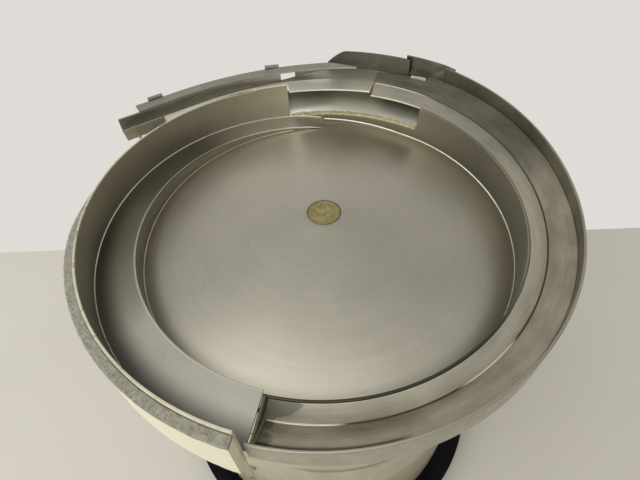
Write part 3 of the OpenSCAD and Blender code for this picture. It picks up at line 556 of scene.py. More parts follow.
def flank_steel(light, dark, darker):
    """V track sheet: marks along the track, nicks on the right, a darker patch of ground metal at its start,
    painted shade at its far end and a painted shadow under the near rim.
    """
    def build():
        x, y, z, radius = place()
        marks = round_marks(x, y, 0.0, radius, 0.8, 6.0)
        soft = round_marks(x, y, 5.0, radius, 0.10, 4.0, 3.0)
        clouds = noise(vector(x, y, z), 0.02, 4.0, 0.6, 0.5)
        nicks = noise(vector(x * 0.25, y, z), 0.5, 2.0, 0.5).band(0.68, 0.76)
        nicks = nicks * direction(x, y, 0.0).band(0.75, 0.95)
        ragged = (noise(vector(x, y, 4.0), 0.10, 4.0, 0.7) - 0.5) * 0.008
        ground = direction(x, y, 254.0) - radius.band(203.0, 214.0) * 0.0105 + ragged
        ground = ground.band(0.9868, 0.9884)
        # Painted shadow under the outer wall's rim on the near side, and painted shade towards 38 degrees.
        rim_painted_shadow = radius.band(232.5, 235.5) * direction(x, y, 267.0).band(0.955, 0.975)
        shaded = direction(x, y, 38.0).band(0.80, 0.97) * darker
        tone = (0.84 + marks * 0.26 + (clouds - 0.5) * 0.18 - nicks * 0.25) * (1.0 - shaded)
        tone = tone * (1.0 - ground * 0.45) * (1.0 - rim_painted_shadow * 0.75)
        steel = blend(dark, light, (soft * 0.7 + clouds * 0.4).band(0.3, 0.75))
        return surface(tint(steel, tone), 0.33 + marks * 0.12 + ground * 0.2,
                       bump(marks - nicks, 0.0001, 0.5))
    return build


def painted_rim(worn, bare_light, coat_light, coat_dark):
    """Coat rubbed through to bare metal along the top edge, with chips and a thin line of primer."""
    def build():
        x, y, z, _ = place()
        down = mark("below_rim")
        ragged = noise(vector(x * 0.22, y * 0.22, down * 0.25), 1.0, 5.0, 0.7)
        chips = noise(vector(x * 0.09, y * 0.09, down * 0.05), 1.0, 3.0, 0.6).band(0.54, 0.64)
        reach = worn + ragged * 2.0 + chips * 4.0
        bare = (reach - down).band(-0.15, 0.15)
        primer = (reach + 0.5 - down).band(-0.15, 0.15)
        grime = noise(vector(x, y, z), 0.05, 5.0, 0.65, 1.0)
        coat = blend(coat_light, coat_dark, grime.band(0.35, 0.75))
        bare_steel = tint(bare_light, 0.75 + noise(vector(x, y, down), 1.2, 3.0, 0.6) * 0.5)
        colour = blend(blend(coat, (0.25, 0.23, 0.18), primer), bare_steel, bare)
        height = noise(vector(x, y, z), 0.35, 2.0, 0.5) * 0.3 - bare
        return {"Base_Color": colour, "Metallic": bare * 0.9, "Roughness": 0.34 + grime * 0.12,
                "Coat_Weight": 0.25 - bare * 0.25, "Normal": bump(height, 0.0002, 0.5)}
    return build


def ivory_paint():
    x, y, z, _ = place()
    peel = noise(vector(x, y, z), 0.35, 2.0, 0.5)
    grime = noise(vector(x, y, z * 0.5), 0.03, 5.0, 0.65, 1.0)
    scuffs = noise(vector(x * 0.15, y * 0.15, z * 0.9), 0.4, 4.0, 0.6).band(0.66, 0.74)
    colour = blend((0.45, 0.41, 0.295), (0.36, 0.325, 0.225), grime.band(0.35, 0.75))
    # Painted shadow: a dark, ragged band round the front of the housing just under the bowl, for the shadow
    # gap below the outer wall.
    painted_gap_shadow = (z + peel * 3.0).band(266.0, 270.0) * z.band(279.0, 275.0)
    painted_gap_shadow = painted_gap_shadow * direction(x, y, 273.0).band(0.950, 0.985)
    colour = blend(colour, (0.06, 0.055, 0.04), painted_gap_shadow * 0.6)
    return {"Base_Color": blend(colour, (0.25, 0.235, 0.18), scuffs * 0.4),
            "Roughness": 0.28 + grime * 0.15, "Coat_Weight": 0.25 - scuffs * 0.2,
            "Normal": bump(peel, 0.0002, 0.25)}


def cream_coat():
    x, y, z, _ = place()
    lumps = noise(vector(x, y, z), 0.25, 4.0, 0.65, 0.6)
    dirt = noise(vector(x, y, z * 2.0), 0.12, 5.0, 0.7, 1.0).band(0.50, 0.68)
    colour = blend((0.78, 0.74, 0.62), (0.46, 0.43, 0.32), dirt)
    return surface(colour, 0.45 + dirt * 0.2, bump(lumps, 0.0006, 0.6))


def damping_coat():
    """Cream coat over a thick felted layer whose torn grey edge shows along the top."""
    x, y, z, _ = place()
    down = mark("below_rim")
    lumps = noise(vector(x, y, z), 0.16, 5.0, 0.7, 0.8)
    fibre = noise(vector(x, y, z * 2.0), 0.5, 5.0, 0.75, 1.2)
    flecks = fibre.band(0.58, 0.70)
    pits = noise(vector(x, y, z), 0.45, 3.0, 0.6).band(0.56, 0.70)
    top = (down + (lumps - 0.5) * 4.0).band(4.5, 3.2)
    felt = blend((0.26, 0.25, 0.20), (0.40, 0.385, 0.32), lumps.band(0.3, 0.7))
    felt = blend(felt, (0.78, 0.75, 0.66), flecks)
    felt = blend(felt, (0.13, 0.12, 0.09), pits * 0.6)
    coat = blend((0.84, 0.80, 0.63), (0.74, 0.70, 0.54), lumps)
    return surface(blend(coat, felt, top), 0.45 + top * 0.3 + lumps * 0.1,
                   bump(lumps * 0.3 + (fibre - pits * 0.5) * top, 0.0010, 0.8))


def plug_rubber():
    x, y, z, radius = place()
    mottle = noise(vector(x, y, z), 0.16, 4.0, 0.6, 0.5)
    rim = radius.band(14.5, 17.2)
    specks = noise(vector(x, y, z), 0.6, 3.0, 0.6).band(0.60, 0.72)
    colour = blend((0.22, 0.185, 0.065), (0.35, 0.305, 0.13), mottle.band(0.35, 0.7))
    colour = blend(colour, (0.10, 0.085, 0.04), rim * 0.6 + specks * 0.4)
    return surface(colour, 0.42 + mottle * 0.2, bump(mottle, 0.0005, 0.4))


def crease_steel():
    """Bead in the crease: a dark line with painted highlights on stretches near the user and at the far
    side.
    """
    x, y, z, _ = place()
    marks = noise(vector(x, y, z), 0.3, 3.0, 0.6)
    # Painted highlights: two stretches near the user and a weaker one at the far side.
    first = direction(x, y, 262.5).band(0.982, 0.995)
    second = direction(x, y, 306.0).band(0.985, 0.997)
    far = direction(x, y, 65.0).band(0.96, 0.995) * 0.5
    painted_crease_highlight = first.math("MAXIMUM", second).math("MAXIMUM", far)
    steel = blend((0.10, 0.095, 0.075), (0.98, 0.97, 0.93), painted_crease_highlight)
    return surface(tint(steel, 0.85 + marks * 0.3), 0.30 + marks * 0.1, bump(marks, 0.0001, 0.4))


def worn_steel(light, dark, rough=0.38, patch=0.0):
    """Handled steel: streaks, clouds and nicks, with a heat stain on the plates behind the track."""
    def build():
        x, y, z, radius = place()
        streak = round_marks(x, y, z, radius, 0.9, 7.0)
        clouds = noise(vector(x, y, z), 0.05, 5.0, 0.65, 1.0)
        nicks = noise(vector(x, y, z), 0.35, 3.0, 0.7).band(0.63, 0.72)
        colour = blend(dark, light, (streak * 0.6 + clouds * 0.6 - 0.1).band(0.25, 0.75))
        if patch:
            heat = clouds.band(0.38, 0.70) * x.band(138.0, 150.0)
            colour = blend(colour, (0.42, 0.37, 0.25), heat * patch)
        return surface(tint(colour, 1.06 - nicks * 0.30), rough + streak * 0.14,
                       bump(streak - nicks, 0.0001, 0.5))
    return build


def machined_steel():
    x, y, z, _ = place()
    marks = noise(vector(x, y, z * 6.0), 0.35, 4.0, 0.6)
    oil = noise(vector(x, y, z), 0.04, 4.0, 0.6, 1.0)
    return surface(tint((0.42, 0.41, 0.38), 0.8 + marks * 0.2 + oil * 0.2), 0.3 + marks * 0.2,
                   bump(marks, 0.00008, 0.5))


def cast_iron():
    x, y, z, _ = place()
    grain = noise(vector(x, y, z), 0.8, 4.0, 0.65)
    patches = noise(vector(x, y, z), 0.05, 4.0, 0.6)
    return surface(tint((0.13, 0.13, 0.125), 0.7 + patches * 0.6), 0.55 + grain * 0.2,
                   bump(grain, 0.0005, 0.7))


def laminated_iron():
    x, y, z, _ = place()
    sheets = (y * 12.0).math("SINE").band(-0.2, 0.2)
    patches = noise(vector(x, y, z), 0.06, 4.0, 0.6)
    return surface(tint((0.15, 0.14, 0.13), 0.7 + patches * 0.4 + sheets * 0.15), 0.5 + patches * 0.1,
                   bump(sheets, 0.0001, 0.6))


def coil_tape():
    x, y, z, _ = place()
    wraps = ((z + x * 0.2) * 0.9).math("SINE")
    weave = noise(vector(x, y, z), 0.9, 3.0, 0.6)
    return surface(tint((0.34, 0.13, 0.05), 0.8 + wraps * 0.08 + weave * 0.25), 0.5 + weave * 0.15,
                   bump(wraps * 0.5 + weave * 0.3, 0.0004, 0.6))


def black_gloss():
    x, y, z, _ = place()
    dust = noise(vector(x, y, z), 0.05, 5.0, 0.7, 1.0).band(0.45, 0.8)
    peel = noise(vector(x, y, z), 0.3, 2.0, 0.5)
    return surface(blend((0.004, 0.004, 0.006), (0.03, 0.03, 0.03), dust * 0.4), 0.12 + dust * 0.22,
                   bump(peel, 0.0002, 0.25))


def foot_rubber():
    x, y, z, _ = place()
    grain = noise(vector(x, y, z), 0.9, 4.0, 0.6)
    return surface(tint((0.03, 0.03, 0.03), 0.7 + grain * 0.6), 0.7 + grain * 0.15,
                   bump(grain, 0.0003, 0.5))


def gland_plastic():
    x, y, z, _ = place()
    grain = noise(vector(x, y, z), 1.2, 3.0, 0.6)
    return surface(tint((0.035, 0.035, 0.038), 0.8 + grain * 0.4), 0.42 + grain * 0.12,
                   bump(grain, 0.0001, 0.4))


def earth_brass():
    x, y, z, _ = place()
    marks = noise(vector(x, y, z * 4.0), 0.5, 4.0, 0.6)
    return surface(tint((0.62, 0.45, 0.17), 0.75 + marks * 0.4), 0.28 + marks * 0.2,
                   bump(marks, 0.0001, 0.4))


def glue():
    x, y, z, _ = place()
    mottle = noise(vector(x, y, z), 0.25, 5.0, 0.7, 1.0)
    colour = blend((0.36, 0.32, 0.16), (0.70, 0.65, 0.42), mottle.band(0.35, 0.65))
    return surface(colour, 0.45 + mottle * 0.25, bump(mottle, 0.0006, 0.8))


def metal(name, build):
    return finish(name, build, Metallic=1.0)


looks = {
    "floor_steel": metal("turned_floor_steel", floor_steel),
    "ramp_steel": metal("brushed_ramp_steel", ramp_steel),
    "wall_steel": metal("left_wall_steel", wall_steel),
    "inner_wall": metal("inner_wall_steel", inner_wall_steel),
    "riser_steel": metal("riser_steel", sheet_steel((0.36, 0.34, 0.27), (0.24, 0.22, 0.17))),
    "bowl_steel": metal("bowl_sheet_steel", sheet_steel((0.44, 0.42, 0.37), (0.33, 0.315, 0.27))),
    "tray_steel": metal("return_tray_steel", tray_steel),
    "outlet_steel": metal("outlet_floor_steel", sheet_steel((0.62, 0.60, 0.52), (0.46, 0.44, 0.37))),
    "weld_steel": metal("ground_weld_steel", sheet_steel((0.80, 0.77, 0.68), (0.60, 0.575, 0.50), 0.3)),
    "dull_weld": metal("dull_weld_steel", sheet_steel((0.56, 0.535, 0.46), (0.40, 0.38, 0.315), 0.34)),
    "crease_steel": metal("crease_weld_painted_highlight", crease_steel),
    # The step plate's steel is far darker than the other sheets as painted shade in the drop at the ramp's
    # end.
    "step_steel": metal("step_plate_steel", sheet_steel((0.20, 0.185, 0.14), (0.12, 0.11, 0.085), 0.42)),
    # One steel for both flanks: the inner flank's lighter colours are painted light, the outer flank's
    # darker ones painted shade, with more painted shade at its far end.
    "inner_flank": metal("inner_flank_steel", flank_steel((0.72, 0.685, 0.57), (0.54, 0.51, 0.42), 0.15)),
    "flank_steel": metal("outer_flank_steel", flank_steel((0.44, 0.41, 0.325), (0.27, 0.25, 0.19), 0.6)),
    "outer_rim": finish("outer_wall_coat", painted_rim(
        0.9, (0.42, 0.40, 0.34), (0.32, 0.295, 0.22), (0.25, 0.23, 0.17))),
    "left_rim": finish("left_wall_coat", painted_rim(
        -4.2, (0.52, 0.50, 0.43), (0.66, 0.615, 0.48), (0.50, 0.46, 0.345))),
    "ivory_coat": finish("ivory_coat", ivory_paint),
    "cream_coat": finish("cream_rim_coat", cream_coat),
    "damping_coat": finish("damping_coat", damping_coat),
    "rail_steel": metal("rail_steel", worn_steel((0.42, 0.41, 0.36), (0.29, 0.28, 0.24))),
    "strip_steel": metal("ledge_steel", worn_steel((0.92, 0.90, 0.80), (0.74, 0.72, 0.62), 0.34)),
    "dark_steel": metal("dark_plate_steel", worn_steel((0.16, 0.15, 0.13), (0.095, 0.09, 0.075), 0.42, 0.5)),
    "lip_steel": metal("notch_lip_steel", worn_steel((0.55, 0.54, 0.50), (0.36, 0.35, 0.31), 0.25)),
    "plug_rubber": finish("plug_rubber", plug_rubber),
    "glue": finish("dried_glue", glue),
    "drive_plate": metal("machined_drive_steel", machined_steel),
    "bolt_steel": metal("zinc_bolt_steel", machined_steel),
    "spring_steel": metal("leaf_spring_steel", worn_steel((0.26, 0.26, 0.25), (0.14, 0.14, 0.14), 0.36)),
    "cast_body": finish("cast_drive_body", cast_iron),
    "core_iron": finish("laminated_core", laminated_iron, Metallic=0.6),
    "coil_wrap": finish("coil_tape", coil_tape),
    "black_plate": finish("black_base_gloss", black_gloss,
                          Coat_Weight=0.03, Coat_Roughness=0.08, Specular_IOR_Level=0.08),
    "foot_rubber": finish("foot_rubber", foot_rubber),
    "gland_plastic": finish("gland_plastic", gland_plastic),
    "earth_brass": metal("earth_brass", earth_brass),
}


def dress(piece, slot, *replaced):
    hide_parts(*replaced)


def revolve(name, outline, finishes, steps):
    """Ring turned about the bowl axis from an outline that closes on itself."""
    points, faces = [], []
    n = len(outline)
    for i in range(steps):
        a = TURN * i / steps
        points += [polar(a, r, z) for r, z in outline]
    for i in range(steps):
        for j in range(n):
            k, nxt = (j + 1) % n, (i + 1) % steps
            faces.append((i * n + j, nxt * n + j, nxt * n + k, i * n + k))
    return add_mesh(name, points, faces, finishes)


def build_floor():
    seat = BOWL_R - FIT
    top = [(r, floor_z(r)) for r in np.linspace(PLUG_R + 0.6, seat, 40)]
    low = [(r, floor_z(r) - FLOOR_T) for r in (seat, PLUG_R + 0.1)]
    lip = [(PLUG_R + 0.1, floor_z(PLUG_R) - 0.6), (PLUG_R + 0.3, floor_z(PLUG_R) - 0.15)]
    piece = revolve("floor_cone", (lip + top + low)[::-1], ["floor_steel"], 288)
    dress(piece, "floor_steel", "bowl_floor")
    rows = [lying(AXIS, a, 0, seat + FIT, FLOOR_EDGE_Z, wall_r(a) - FIT, FLOOR_EDGE_Z, FLOOR_T)
            for a in sweep(CRESCENT_A, WINDOW_END_A)]
    dress(skin("floor_crescent", [rows], ["floor_steel"], THIN_EDGE), "floor_steel", "floor_apron")


def build_plug():
    """Poured plug with a slightly sunk, uneven face and a thin raised lip."""
    z = floor_z(PLUG_R)
    rings, steps, depth = 26, 96, 4.0
    points, faces = [], []
    rng = np.random.default_rng(4)
    waves = rng.uniform(0, 2 * math.pi, 6)
    for i in range(rings + 1):
        r = (PLUG_R - FIT) * i / rings
        for j in range(steps):
            a = TURN * j / steps
            t = math.radians(a)
            rough = (0.10 * math.sin(3 * t + waves[0] + r * 0.4)
                     + 0.08 * math.sin(r * 0.9 + waves[1] + 2 * t))
            lip = 0.30 * math.exp(-((r - 16.2) / 0.8) ** 2)
            fall = -0.5 * share(r, 16.6, PLUG_R - FIT) ** 2
            points.append(polar(a, r, z + 0.05 + rough * (1 - i / rings) + lip + fall))
    base = len(points)
    points += [polar(TURN * j / steps, PLUG_R - FIT, z - depth) for j in range(steps)]
    points.append(np.array([0, 0, z - depth]))
    for i in range(rings):
        for j in range(steps):
            k = (j + 1) % steps
            if i == 0:
                faces.append((0, steps + j, steps + k))
            else:
                faces.append((i * steps + j, (i + 1) * steps + j, (i + 1) * steps + k, i * steps + k))
    for j in range(steps):
        k = (j + 1) % steps
        faces.append((rings * steps + j, base + j, base + k, rings * steps + k))
        faces.append((base + j, len(points) - 1, base + k))
    keep = [0] + list(range(steps, len(points)))
    index = {old: new for new, old in enumerate(keep)}
    points = [points[i] for i in keep]
    faces = [tuple(index[v] for v in f) for f in faces]
    dress(add_mesh("sealing_plug", points, faces, ["plug_rubber"]), "plug_rubber", "centre_plug")


def build_ramp():
    rows = []
    for a in sweep(RAMP_A, END_A, FINE_TURN):
        top, t = ramp_z(a) - TRACK_T + ramp_t(a), ramp_t(a)
        rows.append(lying(AXIS, a, 0, ramp_r(a), top, wall_r(a) - FIT, top - RAMP_TILT, t))
    sheet = skin("ramp_sheet", [rows], ["ramp_steel"], RAMP_EDGE, marks="towards_wall")
    dress(sheet, "ramp_steel", "inner_ramp")

    def riser_top(a):
        tilted = RAMP_TILT * 1.7 / (wall_r(a) - ramp_r(a))
        return max(ramp_z(a) - TRACK_T - FIT - tilted, floor_z(ramp_r(a)) + FIT + 0.15)
    rows = [upright(AXIS, a, 0, ramp_r(a) + FIT, floor_z(ramp_r(a)) + FIT, riser_top(a), RISER_T)
            for a in sweep(RISER_A, END_A - SLIT)]
    dress(skin("riser_sheet", [rows], ["riser_steel"], RISER_EDGE), "bowl_steel", "ramp_riser")
    foot = []
    for a in sweep(WELD_A, END_A - SLIT):
        d, z = ramp_r(a) + FIT, floor_z(ramp_r(a))
        foot.append([polar(a, d - 0.9, z + 0.05), polar(a, d, z - 0.1),
                     polar(a, d, z + 0.9), polar(a, d - 0.4, z + 0.5)])
    skin("riser_foot_weld", [foot], ["dull_weld"], BEAD_EDGE)
    top = float(ramp_z(END_A)) - TRACK_T
    inner, outer = BOWL_R + WALL_T + FIT, OUTER_R - FIT
    plate = [[polar(a, inner, top - STEP_PLATE_H), polar(a, outer, top - STEP_PLATE_H),
              polar(a, outer, top - RAMP_TILT), polar(a, inner, top)]
             for a in STEP_PLATE_A]
    dress(skin("step_end_plate", [plate], ["step_steel"], THIN_EDGE), "bowl_steel", "step_plate")


def outward(face):
    """How far a face looks away from the bowl axis, from -1 to 1."""
    x, y, _ = face.center
    return (face.normal.x * x + face.normal.y * y) / math.hypot(x, y)


def build_wall():
    low = FLOOR_EDGE_Z - WALL_FOOT
    rows = [upright(AXIS, a, 0, wall_r(a), low, inner_top(a), WALL_T) for a in sweep(STEP_A, WINDOW_A)]
    rows += [upright(AXIS, a, 0, wall_r(a), low, sill_z(a), WALL_T)
             for a in sweep(WINDOW_A + SLIT, WINDOW_END_A)]
    left_start = len(rows)
    rows += [upright(AXIS, a, 0, wall_r(a), left_foot(a), rim_top(a), WALL_T)
             for a in sweep(WINDOW_END_A + SLIT, END_A - SLIT, FINE_TURN)]
    finishes = ["wall_steel", "left_rim", "inner_wall"]
    piece = skin("spiral_wall_sheet", [rows], finishes, WALL_EDGE, marks="below_rim")
    per_row = len(piece.data.vertices) // len(rows)
    for face in piece.data.polygons:
        row = min(face.vertices) // per_row
        if row < left_start:
            face.material_index = 2
        elif outward(face) > -OUTWARD_LIMIT:
            face.material_index = 1
    dress(piece, "wall_steel", "spiral_wall")


def build_track():
    inner = [lying(AXIS, a, 0, BOWL_R + WALL_T + FIT, inner_top(a) - 0.8,
                   crease_r(a) - FIT, crease_z(a), TRACK_T)
             for a in sweep(TRACK_A, TRACK_END_A, FINE_TURN)]
    sheet = skin("inner_flank_sheet", [inner], ["inner_flank"], SHEET_EDGE)
    dress(sheet, "flank_steel", "track_inner_flank")

    def row(a, r):
        k = (r - crease_r(a)) / (outer_at(a) - FIT - crease_r(a))
        return lying(AXIS, a, 0, crease_r(a), crease_z(a), r, mix(crease_z(a), flank_z(a), k), TRACK_T)
    rows = [row(a, outer_at(a) - FIT) for a in sweep(TRACK_A, BEFORE_NOTCH_A, FINE_TURN)]
    rows += [row(a, outer_at(a) - FIT - NOTCH_W) for a in sweep(NOTCH_A, NOTCH_END_A, FINE_TURN)]
    rows += [row(a, FLANK_END_R) for a in sweep(AFTER_NOTCH_A, TRACK_END_A, FINE_TURN)]
    sheet = skin("outer_flank_sheet", [rows], ["flank_steel"], SHEET_EDGE)
    dress(sheet, "flank_steel", "track_outer_flank")
    lip = [upright(AXIS, a, 0, OUTER_FULL_R - NOTCH_W, flank_z(a) - LIP_H, flank_z(a), LIP_T)
           for a in sweep(NOTCH_A, NOTCH_END_A, FINE_TURN)]
    dress(skin("notch_lip_sheet", [lip], ["lip_steel"], SHEET_EDGE), "lip_steel", "wear_lip")


def build_outer_wall():
    rows = [upright(AXIS, a, 0, outer_at(a), OUTER_LOW_Z, rim_at(a), OUTER_T)
            for a in sweep(STEP_A, OUTER_END_A, FINE_TURN)]
    finishes = ["outer_rim", "flank_steel"]
    piece = skin("outer_wall_sheet", [rows], finishes, WALL_EDGE, marks="below_rim")
    for face in piece.data.polygons:
        if outward(face) < -OUTWARD_LIMIT:
            face.material_index = 1
    dress(piece, "ivory_coat", "outer_wall")
    rows = [upright(AXIS, a, 0, OUTER_FULL_R, OUTER_LOW_Z, REAR_TOP_Z, OUTER_T)
            for a in sweep(OUTER_END_A + SLIT, REAR_END_A)]
    piece = skin("rear_sheet", [rows], ["outer_rim"], WALL_EDGE, marks="below_rim")
    dress(piece, "ivory_coat", "rear_skirt")


def build_tray():
    rows = [lying(AXIS, a, 0, wall_r(a) + WALL_T + FIT, sill_z(a),
                  OUTER_FULL_R - TRAY_NARROW * share(a, SPREAD_A, WINDOW_END_A) - FIT,
                  sill_z(a) + TRAY_RISE, TRACK_T)
            for a in sweep(WINDOW_A, WINDOW_END_A)]
    dress(skin("return_tray_sheet", [rows], ["tray_steel"], SHEET_EDGE), "bowl_steel", "return_tray")


def build_outlet_floor():
    def floor_row(a, s, d0):
        return lying(RAIL_C, a, s, d0, plate_z(a, s), plate_out(a), plate_z(a, s) + plate_dish(a), TRACK_T)
    rows = [floor_row(a, 0, plate_in(a)) for a in sweep(PLATE_A, WALL_JOIN_A, FINE_TURN)]
    rows += [floor_row(a, 0, plate_in(a)) for a in sweep(WALL_JOIN_A + SLIT, OUTLET_A, FINE_TURN)]
    rows += [floor_row(OUTLET_A, s, CHANNEL_R if s > STRIP_L else CHANNEL_R - STRIP_LEDGE)
             for s in FLOOR_STOPS]
    sheet = skin("outlet_floor_sheet", [rows], ["outlet_steel"], THIN_EDGE)
    dress(sheet, "ramp_steel", "outlet_track")


def build_guide_strip():
    """Ledge beside the outlet, with a leg that stands on the outlet's floor."""
    def foot(a, s, d):
        slope = plate_dish(a) * share(d, plate_in(a), plate_out(a))
        return spot(RAIL_C, a, s, d, plate_z(a, s) + slope + FIT)

    def ledge_row(a, s, d0):
        out, under = strip_out(a), STRIP_Z - STRIP_T
        return [spot(RAIL_C, a, s, d0, under), spot(RAIL_C, a, s, out - STRIP_T, under),
                foot(a, s, out - STRIP_T), foot(a, s, out),
                spot(RAIL_C, a, s, out, STRIP_Z), spot(RAIL_C, a, s, d0, STRIP_Z)]

    def beside(a, s):
        return wall_d(a, s, 0.0 if axis_a(a, s, CHANNEL_R) < BESIDE_A else WALL_T + 2 * FIT)
    rows = [ledge_row(a, 0, strip_in(a)) for a in sweep(PLATE_A, WALL_JOIN_A, FINE_TURN)]
    rows += [ledge_row(a, 0, max(strip_in(a), beside(a, 0)))
             for a in sweep(WALL_JOIN_A + SLIT, OUTLET_A, FINE_TURN)]
    rows += [ledge_row(OUTLET_A, s, beside(OUTLET_A, s)) for s in STRIP_STOPS]
    sheet = skin("guide_ledge_sheet", [rows], ["strip_steel"], THIN_EDGE)
    dress(sheet, "ramp_steel", "inner_guide_strip")


def build_rail():
    """Low wall of the outlet, its tall web with the flange on top, and the lugs on the flange."""
    rows = [upright(RAIL_C, OUTLET_A, s, CHANNEL_R - 2.0, plate_z(OUTLET_A, s) - LOW_WALL_SINK,
                    OUTLET_Z + LOW_WALL_H, LOW_WALL_T) for s in LOW_WALL_STOPS]
    sheet = skin("outlet_low_wall_sheet", [rows], ["rail_steel"], SHEET_EDGE)
    dress(sheet, "dark_steel", "outlet_near_wall")

    def web_row(a, s, low):
        return upright(RAIL_C, a, s, WEB_R, low + FIT, flange_top(a) - RAIL_T, RAIL_T)
    web = [web_row(a, 0, plate_z(a, 0) + plate_dish(a)) for a in sweep(WEB_A, OUTLET_A)]
    web += [web_row(OUTLET_A, s, plate_z(OUTLET_A, s)) for s in WEB_STOPS]

    def flange_row(a, s, wide):
        return lying(RAIL_C, a, s, WEB_R, flange_top(a), WEB_R + wide, flange_top(a), RAIL_T)
    flange = [flange_row(a, 0, FLANGE_W * mix(FLANGE_TIP_SHARE, 1, share(a, FLANGE_A, FLANGE_FULL_A)))
              for a in sweep(FLANGE_A, OUTLET_A)]
    flange += [flange_row(OUTLET_A, s, FLANGE_W) for s in FLANGE_STOPS]
    rail = skin("outlet_web_rail", [web, flange], ["rail_steel"], RAIL_EDGE)
    dress(rail, "rail_steel", "outlet_rail")
    lugs = []
    for a, s in LUG_PLACES:
        d, z = WEB_R + FLANGE_W + FIT, flange_top(a) - LUG_SINK + LUG_T
        lugs.append([lying(RAIL_C, a, s + k, d, z, d + LUG_W, z, LUG_T) for k in LUG_ENDS])
    dress(skin("rail_lug_blocks", lugs, ["rail_steel"], LUG_EDGE), "rail_steel", "rail_lugs")


def build_guard():
    rows = [upright(AXIS, a, 0, GUARD_R, GUARD_LOW_Z,
                    GUARD_TOP_Z - GUARD_FALL * share(a, GUARD_FALL_A, GUARD_END_A) ** 1.5, GUARD_T)
            for a in sweep(GUARD_A, GUARD_END_A, PLATE_TURN)]
    dress(skin("guard_sheet", [rows], ["dark_steel"], SHEET_EDGE), "dark_steel", "guard_plate")
    rows = [upright(AXIS, a, 0, OUTER_FULL_R + LAP_OUT, LAP_LOW_Z, rim_at(a) + LAP_RISE, LAP_T)
            for a in sweep(LAP_A, LAP_END_A, PLATE_TURN)]
    dress(skin("lap_sheet", [rows], ["dark_steel"], SHEET_EDGE), "dark_steel", "lap_plate")


def build_damping():
    """Thick coat on the left wall, torn and lumpy along its top."""
    rng = np.random.default_rng(11)
    waves = [(rng.uniform(0.4, 3.2), rng.uniform(0, 7), rng.uniform(0.15, 0.45)) for _ in range(14)]

    def wobble(a, k):
        return sum(h * math.sin(f * a * (1 + 0.13 * k) + p + k) for f, p, h in waves) / 3.0
    rows = []
    for a in sweep(DAMP_A, END_A - SLIT, DAMP_TURN):
        thick = mix(DAMP_START_T, DAMP_T, smooth(share(a, DAMP_A, DAMP_FULL_A)))
        top = rim_top(a) - DAMP_BELOW
        outer = min(thick, thick + wobble(a, 2.0) * 0.5 * share(a, DAMP_A, DAMP_ROUGH_A))
        d = wall_r(a) + WALL_T + FIT
        rows.append([polar(a, d, OUTER_LOW_Z), polar(a, d + outer, OUTER_LOW_Z),
                     polar(a, d + outer, top - 0.8 + wobble(a, 0.0) * 0.35 - 0.5),
                     polar(a, d, top - 0.1 + wobble(a, 1.0) * 0.1 - 0.3)])
    piece = skin("damping_coat_band", [rows], ["damping_coat"], COAT_EDGE, marks="below_rim")
    dress(piece, "damping_coat", "damping_layer")


def build_glue():
    """Dried glue that seals the return tray to the sill of the window."""
    rng = np.random.default_rng(23)
    rows = []
    for a in sweep(WINDOW_A + 1.0, WINDOW_END_A - 0.6, GLUE_TURN):
        high = 2.2 + 0.8 * math.sin(a * 1.7) * math.sin(a * 0.61 + 1) + rng.uniform(-0.35, 0.35)
        z, d = sill_z(a), wall_r(a)
        rows.append([polar(a, d + 0.4, z - 0.4), polar(a, d + WALL_T + 3.0, z + 0.6),
                     polar(a, d + WALL_T + 2.6, z + 1.2 + high * 0.7),
                     polar(a, d + 0.9, z + high * 0.8)])
    skin("sill_glue_bead", [rows], ["glue"], GLUE_EDGE)


def build_bead():
    """Ground weld along the foot of the wall, on the floor and then on the ramp, and a bead along the crease
    with painted highlights.
    """
    def bead(a, z, w):
        d = wall_r(a) - 0.1
        return [polar(a, d - w, z - 0.2), polar(a, d, z - 0.2),
                polar(a, d, z + 1.1 * w), polar(a, d - 0.4 * w, z + 0.6 * w)]
    rows = [bead(a, FLOOR_EDGE_Z, 1.1) for a in sweep(STEP_A, RAMP_A)]
    skin("wall_foot_weld", [rows], ["weld_steel"], WELD_EDGE)
    rows = [bead(a, ramp_z(a) - TRACK_T + ramp_t(a) - RAMP_TILT, 0.9)
            for a in sweep(RAMP_A + 1.0, END_A - SLIT)]
    skin("ramp_edge_weld", [rows], ["weld_steel"], BEAD_EDGE)
    rows = []
    for a in sweep(TRACK_A + 0.3, TRACK_END_A - 0.3):
        d, z = crease_r(a), crease_z(a)
        rows.append([polar(a, d - 0.8, z - 0.1), polar(a, d + 0.8, z + 0.3),
                     polar(a, d + 0.5, z + 0.75), polar(a, d - 0.4, z + 0.55)])
    skin("crease_weld", [rows], ["crease_steel"], BEAD_EDGE)


def build_torn_rim():
    """Thick painted edge outside the left wall, ahead of the damping coat."""
    rng = np.random.default_rng(5)
    rows = []
    for a in sweep(TORN_A, TORN_END_A, TORN_TURN):
        thick = mix(TORN_START_T, TORN_T, smooth(share(a, TORN_A, TORN_FULL_A)))
        thick = thick + 0.25 * math.sin(a * 2.3) + rng.uniform(-0.12, 0.12)
        top = rim_top(a) - 0.6 - 0.5 * abs(math.sin(a * 1.3)) - rng.uniform(0.0, 0.3)
        low = rim_top(a) - TORN_H - 1.5 * math.sin(a * 0.9) - rng.uniform(0.0, 0.5)
        d = wall_r(a) + WALL_T + 0.05
        rows.append([polar(a, d, low), polar(a, d + 0.4 * thick, low),
                     polar(a, d + thick, top - 1.2), polar(a, d, top)])
    skin("left_rim_coat", [rows], ["cream_coat"], TORN_EDGE)


build_floor()
build_plug()
build_ramp()
build_wall()
build_track()
build_outer_wall()
build_tray()
build_outlet_floor()
build_guide_strip()
build_rail()
build_guard()
build_damping()
build_glue()
build_bead()
build_torn_rim()

